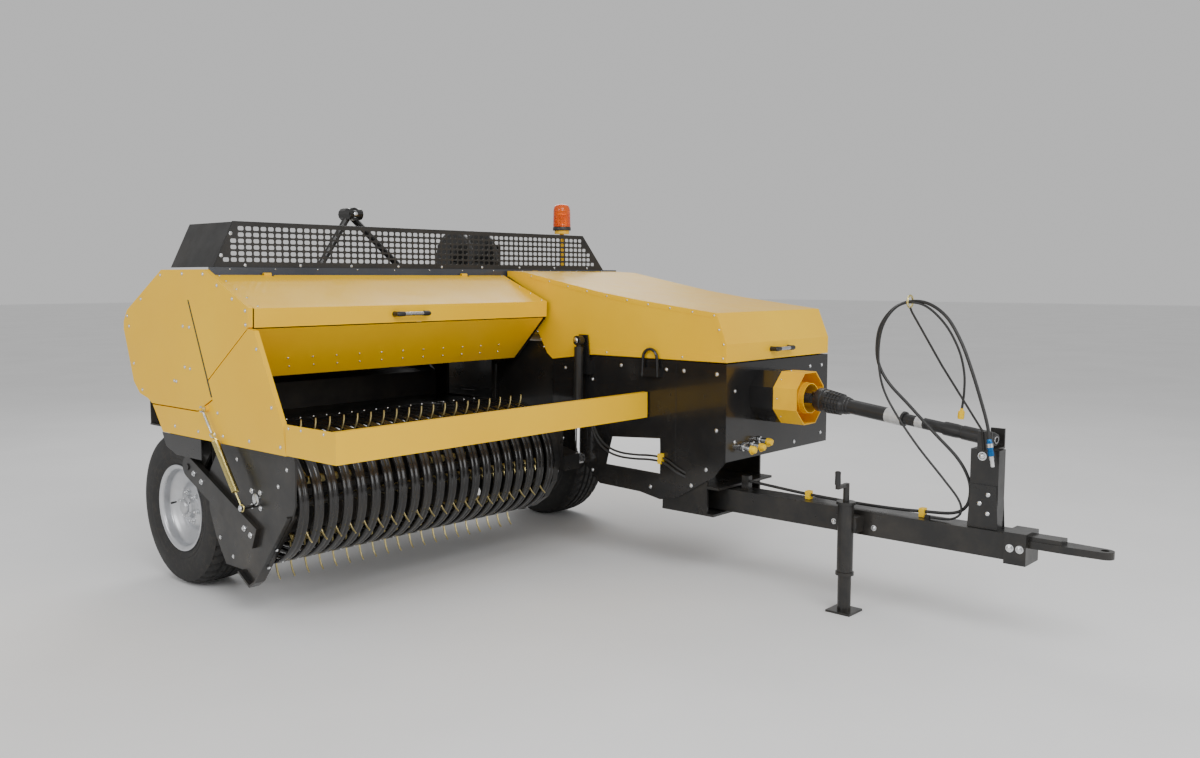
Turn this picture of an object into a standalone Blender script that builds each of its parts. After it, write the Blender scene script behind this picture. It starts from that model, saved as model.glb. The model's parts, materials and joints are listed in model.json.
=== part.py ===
"""Small square baler, towed, as separate named pieces.

X runs from the pickup's outer end to the machine's left, Y runs rearwards from the
crop guard bar, and Z is height above the ground. All sizes are in metres. The whole
machine hangs on one empty, which puts the middle of its box at the world origin.
"""

import math

import bmesh
import bpy
from mathutils import Vector

# ------------------------------------------------------------ clearances
TOUCH = 0.0003  # gap between pieces that are fastened or rest face to face
PIN_GAP = 0.0008  # radial gap of a pin in its bore
RUN_GAP = 0.0065  # gap beside a piece that moves

# ------------------------------------------------------------ wheels
TYRE_RADIUS = 0.38
TYRE_WIDTH = 0.26
RIM_FLANGE_RADIUS = 0.2125
RIM_SEAT_RADIUS = 0.1955
RIM_WIDTH = 0.24
STUB_RADIUS = 0.025
RIGHT_WHEEL_Y = 1.44
WHEEL_SIDES = 28
LEFT_WHEEL_Y = 1.25
LEFT_WHEEL_GAP = 0.015  # between the bale chamber and the left tyre

# ------------------------------------------------------------ pickup
PIVOT_Y = 1.21
PIVOT_Z = 0.62
PIVOT_PIN_RADIUS = 0.015
REEL_Y = 0.65
REEL_Z = 0.54
BAND_RADIUS = 0.29
BAND_THICKNESS = 0.008
BAND_WIDTH = 0.05
TINE_TIP_RADIUS = 0.375
TINE_BAR_RADIUS = 0.20
TINE_BAR_THICKNESS = 0.015
TINE_RADIUS = 0.004
TINE_PITCH = 0.074
TINES_PER_BAR = 20
TINE_BARS = 4
FIRST_TINE_X = 0.122
REEL_SHAFT_RADIUS = 0.02
BEARING_RADIUS = 0.035
SIDE_PLATE = 0.008
HINGE_PIN = 0.0045
BAND_REAR_Y = 0.985  # rear ends of the stripper bands
BAND_STRAP = 0.05  # cross straps that carry the band ends
ARM_WIDTH = 0.10

# ------------------------------------------------------------ feeder housing
END_SHEET = 0.004
END_FLANGE = 0.022
FLOOR_TOP = 0.79
FLOOR_SHEET = 0.008
FLOOR_FRONT_Y = 1.05
FLOOR_REAR_Y = 1.60
DECK_Z = 1.526
COVER_SHEET = 0.006
HOOD_SHEET = 0.004
HOOD_WIDTH = 1.80
LOWER_PANEL_WIDTH = 1.78
SEAM = 0.003  # gap between the two end panels

# ------------------------------------------------------------ bale chamber
SIDE_X = 1.825  # outer face of the drive housing's right side
HOUSING_SHEET = 0.004
HOUSING_LEFT_X = 2.784
HOUSING_FRONT_Y = -0.565
HOUSING_BOTTOM_Z = 0.608
HOUSING_TOP_Z = 1.085
BALE_WIDTH = 0.46
BALE_HEIGHT = 0.36
CHAMBER_SHEET = 0.008
CHAMBER_BOTTOM_Z = 0.772
CHAMBER_FRONT_Y = 0.30
CHAMBER_REAR_Y = 2.70
FRAME_FRONT_Y = -0.45
FEED_FRONT_Y = 1.06
FEED_REAR_Y = 1.50
RAIL_DEPTH = 0.072
RAIL_WIDTH = 0.04

# ------------------------------------------------------------ drive line
PTO_X = 2.155
PTO_Z = 0.915
FLYWHEEL_RADIUS = 0.26
FLYWHEEL_THICKNESS = 0.07
JOINT_Y = -0.87
JOINT_PIN_RADIUS = 0.012
JOINT_ROOM = 0.0025
GUARD_RADIUS = 0.137  # across the corners of the octagonal guard
GUARD_SHEET = 0.005
DUCT_LENGTH = 0.135
GUARD_LENGTH = 0.13
BELL_RADIUS = 0.075
SHAFT_RADIUS = 0.034
INNER_SHAFT_RADIUS = 0.026
YOKE_OUTLINE = ((0.022, 0.020), (0.022, -0.075), (-0.034, -0.075), (-0.022, 0.020))
SHAFT_END_X = 2.02
SHAFT_END_Y = -1.80
POST_Y = -1.78

# ------------------------------------------------------------ drawbar
DRAWBAR_X = 1.99
DRAWBAR_WIDTH = 0.12
DRAWBAR_BOTTOM_Z = 0.345
DRAWBAR_TOP_Z = 0.455
DRAWBAR_PIVOT_Y = -0.25
DRAWBAR_FRONT_Y = -1.96
DRAWBAR_PIN_RADIUS = 0.024
TONGUE_TIP_Y = -2.29
HITCH_PLATE = 0.012
POST_TOP_Z = 0.79
JACK_Y = -1.20
JACK_TUBE_RADIUS = 0.036
JACK_LEG_RADIUS = 0.030
JACK_FOOT = 0.12
JACK_TUBE_BOTTOM_Z = 0.17
JACK_TUBE_TOP_Z = 0.50
HOSE_RADIUS = 0.007
CABLE_RADIUS = 0.005

# ------------------------------------------------------------ lift cylinder and spring
CYLINDER_X = 1.777
CYLINDER_TOP_Y = 0.356
CYLINDER_TOP_Z = 1.167
CYLINDER_LOW_Y = 0.365
CYLINDER_LOW_Z = 0.53
BARREL_RADIUS = 0.025
ROD_RADIUS = 0.015
EYE_RADIUS = 0.026
ROD_EYE_RADIUS = 0.028
ROD_EYE_ROOM = 0.0075
HOOK_ROOM = 0.003
EYE_PIN_RADIUS = 0.010
SPRING_X = -0.024
SPRING_TOP_Y = 0.992
SPRING_TOP_Z = 0.912
SPRING_LOW_Y = 0.675
SPRING_LOW_Z = 0.507
SPRING_RADIUS = 0.017

# ------------------------------------------------------------ rear and top
GUARD_Y = 0.976
STRIP_BOTTOM_Z = 1.507
STRIP_TOP_Z = 1.547
STRIP_LEFT_X = 2.79
MESH_TOP_Z = 1.753
MESH_SHEET = 0.003
TWINE_LEFT_X = 2.75
TWINE_REAR_Y = 1.60
TWINE_BOTTOM_Z = 0.80
TWINE_TOP_Z = 1.506
CHUTE_LENGTH = 0.62
CHUTE_HINGE_GAP = 0.03
CHUTE_OVERLAP = 0.0125
CHUTE_SHEET = 0.005
CHUTE_PIN = 0.008

# ------------------------------------------------------------ worked out from the above
TIRE_OUTER_X = 0.065
HANGER_X = TIRE_OUTER_X - RUN_GAP - 0.002
HANGER_PLATE = 0.012
RIGHT_SIDE_X = HANGER_X - HANGER_PLATE - RUN_GAP  # inner face of the right side plate
LAST_BAND_X = FIRST_TINE_X + TINE_PITCH * (TINES_PER_BAR - 0.5)
LEFT_SIDE_X = LAST_BAND_X + BAND_WIDTH / 2 + 0.04  # inner face of the left side plate
CHAMBER_RIGHT_X = SIDE_X + 0.010
CHAMBER_LEFT_X = CHAMBER_RIGHT_X + BALE_WIDTH + 2 * CHAMBER_SHEET
CHAMBER_TOP_Z = CHAMBER_BOTTOM_Z + BALE_HEIGHT + 2 * CHAMBER_SHEET
CHAMBER_MID_X = (CHAMBER_RIGHT_X + CHAMBER_LEFT_X) / 2
LEFT_TYRE_X = CHAMBER_LEFT_X + LEFT_WHEEL_GAP
JACK_X = DRAWBAR_X - DRAWBAR_WIDTH / 2 - JACK_FOOT / 2 - 0.015
CHUTE_HINGE_Y = CHAMBER_REAR_Y + CHUTE_HINGE_GAP
CHUTE_HINGE_Z = CHAMBER_BOTTOM_Z - 0.02
CHUTE_END_Y = CHUTE_HINGE_Y + CHUTE_LENGTH
HINGE_Y = GUARD_Y - 0.018
PICKUP_HINGE_Z = 1.514
CHAMBER_HINGE_Z = 1.530
PICKUP_HOOD_HINGES = (0.30, 1.50)
CHAMBER_HOOD_HINGES = (2.05, 2.60)
TWINE_LID_HINGES = (1.20, 1.48)
WALL_X = SIDE_X - RUN_GAP  # inner side of what stands beside the moving hood

MIDDLE_X = (SPRING_X - SPRING_RADIUS + STRIP_LEFT_X) / 2
MIDDLE_Y = (TONGUE_TIP_Y + CHUTE_END_Y) / 2

COLOURS = {
    "yellow": ((0.90, 0.52, 0.01), 0.32, 0.0),
    "black": ((0.016, 0.016, 0.017), 0.38, 0.0),
    "chassis_black": ((0.02, 0.02, 0.021), 0.5, 0.0),
    "rubber": ((0.02, 0.02, 0.02), 0.85, 0.0),
    "galvanised": ((0.62, 0.64, 0.66), 0.35, 1.0),
    "steel": ((0.45, 0.45, 0.46), 0.35, 1.0),
    "tine_steel": ((0.62, 0.54, 0.28), 0.35, 1.0),
    "zinc_gold": ((0.72, 0.60, 0.22), 0.35, 1.0),
    "slate": ((0.10, 0.13, 0.17), 0.45, 0.0),
    "amber": ((0.95, 0.25, 0.02), 0.2, 0.0),
    "blue": ((0.02, 0.18, 0.45), 0.35, 0.0),
    "cast_iron": ((0.10, 0.10, 0.10), 0.6, 0.6),
}


# ------------------------------------------------------------ scene helpers
def clear_scene():
    for item in list(bpy.data.objects):
        bpy.data.objects.remove(item, do_unlink=True)


def material(name):
    """The Principled material of one of the machine's finishes."""
    found = bpy.data.materials.get(name)
    if found:
        return found
    colour, roughness, metallic = COLOURS[name]
    made = bpy.data.materials.new(name)
    made.use_nodes = True
    shader = made.node_tree.nodes["Principled BSDF"]
    shader.inputs["Base Color"].default_value = (*colour, 1.0)
    shader.inputs["Roughness"].default_value = roughness
    shader.inputs["Metallic"].default_value = metallic
    return made


def own_material(node, finish):
    """A copy of a finish under the piece's own name."""
    made = material(finish).copy()
    made.name = node + "_finish"
    return made


# ------------------------------------------------------------ shapes, each a closed bmesh
def block(low, high):
    """A box between two corners."""
    shape = bmesh.new()
    bmesh.ops.create_cube(shape, size=1.0)
    for vert in shape.verts:
        for axis in range(3):
            middle = (low[axis] + high[axis]) / 2
            vert.co[axis] = middle + vert.co[axis] * (high[axis] - low[axis])
    return shape


def slab(outline, axis, low, high):
    """An outline in the plane across an axis, extruded from low to high along it.

    Outline points are the other two coordinates, in X, Y, Z order.
    """
    shape = bmesh.new()
    bottom = [shape.verts.new(at_level(point, axis, low)) for point in outline]
    top = [shape.verts.new(at_level(point, axis, high)) for point in outline]
    shape.faces.new(list(reversed(bottom)))
    shape.faces.new(top)
    count = len(outline)
    for i in range(count):
        j = (i + 1) % count
        shape.faces.new([bottom[i], bottom[j], top[j], top[i]])
    bmesh.ops.recalc_face_normals(shape, faces=shape.faces)
    return shape


def at_level(point, axis, level):
    values = list(point)
    values.insert(axis, level)
    return Vector(values)


def tapered_rod(start, end, start_radius, end_radius, sides=16):
    """A round bar or cone between two points."""
    start = Vector(start)
    end = Vector(end)
    along = end - start
    shape = bmesh.new()
    bmesh.ops.create_cone(
        shape,
        cap_ends=True,
        segments=sides,
        radius1=start_radius,
        radius2=end_radius,
        depth=along.length,
    )
    turn = along.to_track_quat("Z", "Y").to_matrix().to_4x4()
    bmesh.ops.transform(shape, matrix=turn, verts=shape.verts)
    bmesh.ops.translate(shape, vec=(start + end) / 2, verts=shape.verts)
    return shape


def rod(start, end, radius, sides=16):
    return tapered_rod(start, end, radius, radius, sides)


def turned(profile, centre, sides):
    """A profile of (distance along X, radius) turned about an X axis through centre.

    A closed profile stays clear of the axis, and an open one starts and ends on it.
    """
    open_ends = profile[0][1] == 0.0
    shape = bmesh.new()
    rings = []
    for along, radius in profile:
        if radius == 0.0:
            rings.append([shape.verts.new((centre[0] + along, centre[1], centre[2]))])
            continue
        ring = []
        for i in range(sides):
            angle = 2 * math.pi * i / sides
            y = centre[1] + radius * math.cos(angle)
            z = centre[2] + radius * math.sin(angle)
            ring.append(shape.verts.new((centre[0] + along, y, z)))
        rings.append(ring)
    pairs = list(zip(rings, rings[1:]))
    if not open_ends:
        pairs.append((rings[-1], rings[0]))
    for first, second in pairs:
        for i in range(sides):
            j = (i + 1) % sides
            corners = [first[i % len(first)], first[j % len(first)]]
            corners += [second[j % len(second)], second[i % len(second)]]
            face = []
            for corner in corners:
                if corner not in face:
                    face.append(corner)
            shape.faces.new(face)
    bmesh.ops.recalc_face_normals(shape, faces=shape.faces)
    return shape


def offset_path(points, distance):
    """The points of an open path moved sideways, to its left, by a distance."""
    moved = []
    last = len(points) - 1
    for i, point in enumerate(points):
        before = Vector(points[max(i - 1, 0)])
        after = Vector(points[min(i + 1, last)])
        here = Vector(point)
        into = (here - before).normalized() if i > 0 else (after - here).normalized()
        out = (after - here).normalized() if i < last else into
        normal = Vector((-into.y, into.x)) + Vector((-out.y, out.x))
        normal.normalize()
        stretch = 1.0 / max(0.3, normal.dot(Vector((-into.y, into.x))))
        moved.append(tuple(here + normal * distance * stretch))
    return moved


def bent_sheet(path, thickness, low_x, high_x):
    """A sheet bent along a path in Y and Z, its thickness to the path's left."""
    outline = list(path) + list(reversed(offset_path(path, thickness)))
    return slab(outline, 0, low_x, high_x)


def offset_loop(points, distance):
    """A closed outline moved inwards by a distance; the points run anticlockwise."""
    count = len(points)
    moved = []
    for i, point in enumerate(points):
        here = Vector(point)
        into = (here - Vector(points[i - 1])).normalized()
        out = (Vector(points[(i + 1) % count]) - here).normalized()
        side_in = Vector((-into.y, into.x))
        side_out = Vector((-out.y, out.x))
        normal = (side_in + side_out).normalized()
        stretch = 1.0 / max(0.4, normal.dot(side_in))
        moved.append(tuple(here + normal * distance * stretch))
    return moved


def tray(outline, sheet, depth):
    """A sheet-metal panel in the Y-Z plane at X = 0, with its edges turned in to a depth."""
    inside = offset_loop(outline, sheet)
    shape = bmesh.new()
    outer_low = [shape.verts.new((0.0, y, z)) for y, z in outline]
    outer_high = [shape.verts.new((depth, y, z)) for y, z in outline]
    inner_high = [shape.verts.new((depth, y, z)) for y, z in inside]
    inner_low = [shape.verts.new((sheet, y, z)) for y, z in inside]
    shape.faces.new(outer_low)
    shape.faces.new(inner_low)
    count = len(outline)
    for first, second in ((outer_low, outer_high), (outer_high, inner_high), (inner_high, inner_low)):
        for i in range(count):
            j = (i + 1) % count
            shape.faces.new([first[i], first[j], second[j], second[i]])
    bmesh.ops.recalc_face_normals(shape, faces=shape.faces)
    return shape


def wire(points, radius, sides=6):
    """A bent round bar through points, mitred at each bend."""
    path = [Vector(point) for point in points]
    shape = bmesh.new()
    rings = []
    last = len(path) - 1
    side = None
    for i, here in enumerate(path):
        before = path[max(i - 1, 0)]
        after = path[min(i + 1, last)]
        along = (after - before).normalized()
        if side is None:
            helper = Vector((1, 0, 0)) if abs(along.x) < 0.9 else Vector((0, 1, 0))
            side = along.cross(helper).normalized()
        side = (side - along * side.dot(along)).normalized()
        across = along.cross(side)
        ring = []
        for k in range(sides):
            angle = 2 * math.pi * k / sides
            offset = side * math.cos(angle) + across * math.sin(angle)
            ring.append(shape.verts.new(here + offset * radius))
        rings.append(ring)
    for first, second in zip(rings, rings[1:]):
        for k in range(sides):
            j = (k + 1) % sides
            shape.faces.new([first[k], first[j], second[j], second[k]])
    shape.faces.new(list(reversed(rings[0])))
    shape.faces.new(rings[-1])
    bmesh.ops.recalc_face_normals(shape, faces=shape.faces)
    return shape


def knuckle(place, along, radius):
    """A hinge knuckle round a pin: its sleeve, the pin's hole, and the pin with its ear.

    The pin runs along X (along = 0) or Y (along = 1).
    """
    here = Vector(place)
    step = Vector((0, 0, 0))
    step[along] = 1.0
    sleeve = rod(here - step * 0.020, here + step * 0.018, radius, 16)
    hole = rod(here - step * 0.030, here + step * 0.0195, HINGE_PIN + PIN_GAP, 12)
    pin = rod(here - step * 0.015, here + step * 0.026, HINGE_PIN, 12)
    return sleeve, hole, pin


def hinge_notch(x, z):
    """The room in a hood's rear edge for the ear that holds a hinge pin."""
    return block((x + 0.0185, HINGE_Y - 0.014, z - 0.03), (x + 0.032, HINGE_Y + 0.02, z + 0.03))


def arc(centre, radius, start_deg, end_deg, steps):
    """Points on an arc in a plane, both ends included."""
    points = []
    for i in range(steps + 1):
        angle = math.radians(start_deg + (end_deg - start_deg) * i / steps)
        points.append((centre[0] + radius * math.cos(angle), centre[1] + radius * math.sin(angle)))
    return points


# ------------------------------------------------------------ assembly helpers
def loose_object(shape):
    mesh = bpy.data.meshes.new("scratch")
    shape.to_mesh(mesh)
    shape.free()
    thing = bpy.data.objects.new("scratch", mesh)
    return thing


def boolean_step(thing, shapes, operation):
    """Adds a Boolean modifier that works with every one of the shapes."""
    group = bpy.data.collections.new("scratch_" + operation.lower())
    bpy.context.scene.collection.children.link(group)
    for shape in shapes:
        group.objects.link(loose_object(shape))
    step = thing.modifiers.new(operation.title(), "BOOLEAN")
    step.operation = operation
    step.solver = "EXACT"
    step.operand_type = "COLLECTION"
    step.collection = group
    return group


def merged_mesh(name, shapes, cutters):
    """One mesh: the union of the shapes, less the cutters."""
    base = loose_object(shapes[0])
    bpy.context.scene.collection.objects.link(base)
    groups = []
    if len(shapes) > 1:
        groups.append(boolean_step(base, shapes[1:], "UNION"))
    if cutters:
        groups.append(boolean_step(base, cutters, "DIFFERENCE"))
    graph = bpy.context.evaluated_depsgraph_get()
    mesh = bpy.data.meshes.new_from_object(base.evaluated_get(graph))
    mesh.name = name
    bpy.data.objects.remove(base, do_unlink=True)
    for group in groups:
        for scrap in list(group.objects):
            bpy.data.objects.remove(scrap, do_unlink=True)
        bpy.data.collections.remove(group)
    return mesh


def piece(name, finish, shapes, cutters=(), origin=(0.0, 0.0, 0.0)):
    """A named object of one closed body, its origin on its joint's axis if it moves."""
    mesh = merged_mesh(name, list(shapes), list(cutters))
    for vert in mesh.vertices:
        vert.co -= Vector(origin)
    mesh.shade_smooth()
    mesh.set_sharp_from_angle(angle=math.radians(35))
    mesh.materials.clear()
    mesh.materials.append(own_material(name, finish))
    thing = bpy.data.objects.new(name, mesh)
    bpy.context.scene.collection.objects.link(thing)
    thing.location = origin
    thing.parent = bpy.data.objects["machine"]
    return thing


def hollowed(shape, room):
    """A shape with a room cut out of it, ready to join to others."""
    mesh = merged_mesh("hollowed", [shape], [room])
    cut = bmesh.new()
    cut.from_mesh(mesh)
    bpy.data.meshes.remove(mesh)
    return cut


def hose(name, finish, route, radius, spacing):
    """A tube along a smooth curve through the route's points."""
    points = smooth_path([Vector(point) for point in route], spacing)
    curve = bpy.data.curves.new(name, "CURVE")
    curve.dimensions = "3D"
    curve.bevel_depth = radius
    curve.bevel_resolution = 2
    curve.use_fill_caps = True
    spline = curve.splines.new("POLY")
    spline.points.add(len(points) - 1)
    for knot, point in zip(spline.points, points):
        knot.co = (*point, 1.0)
    curve.materials.append(own_material(name, finish))
    thing = bpy.data.objects.new(name, curve)
    bpy.context.scene.collection.objects.link(thing)
    thing.parent = bpy.data.objects["machine"]
    return thing


def smooth_path(points, spacing):
    """Evenly spaced points on the Catmull-Rom curve through the given ones."""
    fine = []
    last = len(points) - 1
    for i in range(last):
        p0 = points[i - 1] if i > 0 else points[0] * 2 - points[1]
        p1 = points[i]
        p2 = points[i + 1]
        p3 = points[i + 2] if i + 2 <= last else points[last] * 2 - points[last - 1]
        for k in range(12):
            t = k / 12
            bend = p0 * 2 - p1 * 5 + p2 * 4 - p3
            twist = p1 * 3 - p0 - p2 * 3 + p3
            fine.append((p1 * 2 + (p2 - p0) * t + bend * t * t + twist * t * t * t) / 2)
    fine.append(points[last])
    lengths = [0.0]
    for first, second in zip(fine, fine[1:]):
        lengths.append(lengths[-1] + (second - first).length)
    count = max(2, round(lengths[-1] / spacing))
    even = []
    k = 0
    for i in range(count + 1):
        target = lengths[-1] * i / count
        while k < len(fine) - 2 and lengths[k + 1] < target:
            k += 1
        span = lengths[k + 1] - lengths[k]
        even.append(fine[k].lerp(fine[k + 1], (target - lengths[k]) / span))
    return even


# ------------------------------------------------------------ wheels and axle
def rim_profile():
    """The dished disc, barrel and hub of a wheel, from its outer side inwards."""
    seat = RIM_SEAT_RADIUS
    flange = RIM_FLANGE_RADIUS
    width = RIM_WIDTH
    inner = seat - 0.0075
    well = seat - 0.030
    well_inner = well - 0.0075
    return [
        (0.012, 0.0),
        (0.012, 0.022),
        (0.022, 0.034),
        (0.030, 0.050),
        (0.060, 0.056),
        (0.060, 0.082),
        (0.083, 0.118),
        (0.068, well_inner - 0.001),
        (0.045, inner),
        (0.012, inner),
        (0.000, flange - 0.0065),
        (0.000, flange),
        (0.008, flange),
        (0.014, seat),
        (0.050, seat),
        (0.066, well),
        (width - 0.066, well),
        (width - 0.050, seat),
        (width - 0.014, seat),
        (width - 0.008, flange),
        (width, flange),
        (width - 0.012, inner),
        (width - 0.046, inner),
        (width - 0.062, well_inner),
        (0.084, well_inner),
        (0.095, 0.118),
        (0.070, 0.082),
        (0.070, 0.048),
        (width - 0.045, 0.048),
        (width - 0.045, STUB_RADIUS + PIN_GAP),
        (0.036, STUB_RADIUS + PIN_GAP),
        (0.036, 0.0),
    ]


def tyre_profile():
    """A closed section across the tyre, seated on the rim's barrel."""
    seat = RIM_SEAT_RADIUS + TOUCH * 2
    wall = TYRE_RADIUS - RIM_FLANGE_RADIUS
    half = [
        (0.0250, seat),
        (0.0180, RIM_FLANGE_RADIUS + 0.0015),
        (0.0040, RIM_FLANGE_RADIUS + wall * 0.17),
        (0.0000, RIM_FLANGE_RADIUS + wall * 0.46),
        (0.0050, RIM_FLANGE_RADIUS + wall * 0.76),
        (0.0180, RIM_FLANGE_RADIUS + wall * 0.92),
        (0.0420, TYRE_RADIUS - 0.004),
        (0.0900, TYRE_RADIUS),
    ]
    return half + [(TYRE_WIDTH - along, radius) for along, radius in reversed(half)]


def wheel(side, outer_x, y, facing):
    """A tyre and its rim; facing is 1 where the dished side looks towards -X."""
    centre = (outer_x if facing > 0 else outer_x + TYRE_WIDTH, y, TYRE_RADIUS)
    inset = (TYRE_WIDTH - RIM_WIDTH) / 2
    tyre = [(facing * along, radius) for along, radius in tyre_profile()]
    rim = [(facing * (along + inset), radius) for along, radius in rim_profile()]
    hub = (outer_x + TYRE_WIDTH / 2, y, TYRE_RADIUS)
    piece(side + "_tyre", "rubber", [turned(tyre, centre, WHEEL_SIDES)], origin=hub)
    piece(side + "_rim", "galvanised", [turned(rim, centre, WHEEL_SIDES)], origin=hub)


AXLE_TOP_Z = CHAMBER_BOTTOM_Z - RAIL_DEPTH - TOUCH
BEAM_TOP_Z = 0.46
BEAM_BOTTOM_Z = 0.36
BEAM_END_X = TIRE_OUTER_X + TYRE_WIDTH + 0.035
STUB_REACH = RIM_WIDTH - 0.055


def axle():
    """The transverse beam, its posts to the chamber rails and both wheel stubs."""
    beam_front = RIGHT_WHEEL_Y - 0.05
    beam_rear = RIGHT_WHEEL_Y + 0.05
    right_stub_end = TIRE_OUTER_X + TYRE_WIDTH - STUB_REACH - 0.01
    left_plate_x = CHAMBER_LEFT_X - RAIL_WIDTH
    left_stub_end = LEFT_TYRE_X + STUB_REACH + 0.01
    shapes = [block((BEAM_END_X, beam_front, BEAM_BOTTOM_Z), (CHAMBER_LEFT_X, beam_rear, BEAM_TOP_Z))]
    stub_z = TYRE_RADIUS
    shapes.append(rod((BEAM_END_X + 0.02, RIGHT_WHEEL_Y, stub_z), (right_stub_end, RIGHT_WHEEL_Y, stub_z), STUB_RADIUS, 24))
    plate_low = (left_plate_x, LEFT_WHEEL_Y - 0.05, BEAM_BOTTOM_Z - 0.02)
    shapes.append(block(plate_low, (CHAMBER_LEFT_X + 0.002, beam_rear - 0.002, BEAM_TOP_Z - 0.002)))
    shapes.append(rod((left_plate_x + 0.01, LEFT_WHEEL_Y, stub_z), (left_stub_end, LEFT_WHEEL_Y, stub_z), STUB_RADIUS, 24))
    for post_x in (CHAMBER_RIGHT_X, CHAMBER_LEFT_X - RAIL_WIDTH):
        low = (post_x + 0.001, beam_front + 0.01, BEAM_TOP_Z - 0.01)
        shapes.append(block(low, (post_x + RAIL_WIDTH - 0.001, beam_rear - 0.01, AXLE_TOP_Z)))
    upright_low = (BEAM_END_X + 0.003, beam_front + 0.012, BEAM_TOP_Z - 0.01)
    shapes.append(block(upright_low, (BEAM_END_X + 0.05, beam_rear - 0.012, FLOOR_TOP - FLOOR_SHEET - TOUCH)))
    piece("axle", "chassis_black", shapes)


# ------------------------------------------------------------ pickup
def band_outline():
    """One stripper band: a hairpin round the front of the reel."""
    inner = BAND_RADIUS - BAND_THICKNESS
    outer_line = arc((REEL_Y, REEL_Z), BAND_RADIUS, 90, 270, 8)
    inner_line = arc((REEL_Y, REEL_Z), inner, 90, 270, 8)
    outer_line = [(BAND_REAR_Y, REEL_Z + BAND_RADIUS)] + outer_line + [(BAND_REAR_Y, REEL_Z - BAND_RADIUS)]
    inner_line = [(BAND_REAR_Y, REEL_Z + inner)] + inner_line + [(BAND_REAR_Y, REEL_Z - inner)]
    return outer_line + list(reversed(inner_line))


def stripper_bands():
    outline = band_outline()
    shapes = []
    for i in range(TINES_PER_BAR + 1):
        middle = FIRST_TINE_X + TINE_PITCH * (i - 0.5)
        shapes.append(slab(outline, 0, middle - BAND_WIDTH / 2, middle + BAND_WIDTH / 2))
    strap_low_x = RIGHT_SIDE_X + TOUCH
    strap_high_x = LAST_BAND_X + BAND_WIDTH / 2 + 0.004 - TOUCH
    drop = BAND_RADIUS - BAND_THICKNESS / 2
    for side in (1, -1):
        near = REEL_Z + side * drop
        far = REEL_Z + side * (drop - 0.018)
        low = (strap_low_x, BAND_REAR_Y - BAND_STRAP, min(near, far))
        high = (strap_high_x, BAND_REAR_Y - 0.002, max(near, far))
        shapes.append(block(low, high))
    piece("stripper_bands", "black", shapes, origin=(0.8, PIVOT_Y, PIVOT_Z))


def bearing(face_x, inwards):
    """A bearing housing on a side plate, and the hole for the reel's shaft."""
    start = (face_x - inwards * 0.002, REEL_Y, REEL_Z)
    end = (face_x + inwards * 0.016, REEL_Y, REEL_Z)
    hole_end = (face_x + inwards * 0.03, REEL_Y, REEL_Z)
    hole_start = (face_x + inwards * 0.0008, REEL_Y, REEL_Z)
    return rod(start, end, BEARING_RADIUS, 24), rod(hole_start, hole_end, REEL_SHAFT_RADIUS + PIN_GAP, 24)


def arm_outline(width):
    """The lift arm, from a round end at the pivot to its bolts low on the side plate."""
    toe = Vector((0.64, 0.37))
    heel = Vector((PIVOT_Y, PIVOT_Z))
    along = (toe - heel).normalized()
    angle = math.degrees(math.atan2(-along.y, -along.x))
    round_end = arc((heel.x, heel.y), width / 2, angle - 90, angle + 90, 8)
    side = Vector((-along.y, along.x)) * width / 2
    return round_end + [tuple(toe - side), tuple(toe + side)]


def side_outline(skid):
    """The pickup's end plate in Y and Z; skid adds the runner's toe."""
    front = REEL_Y - BAND_RADIUS - 0.022
    top = 0.742
    points = [(0.960, top - 0.010), (front, top), (front + 0.008, 0.555), (front + 0.035, 0.490)]
    if skid:
        points += [(0.640, 0.180), (0.690, 0.150)]
    else:
        points += [(0.560, 0.265), (0.640, 0.235)]
    points += [(0.790, 0.205), (0.925, 0.205), (1.010, 0.325), (1.060, 0.440), (1.060, 0.600)]
    return points


def skid_runner():
    """The flat runner along the front edge of the right side plate."""
    path = [(0.372, 0.500), (0.645, 0.172), (0.695, 0.142), (0.790, 0.195)]
    return bent_sheet(path, 0.010, RIGHT_SIDE_X - SIDE_PLATE - 0.022, RIGHT_SIDE_X + 0.018)


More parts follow.
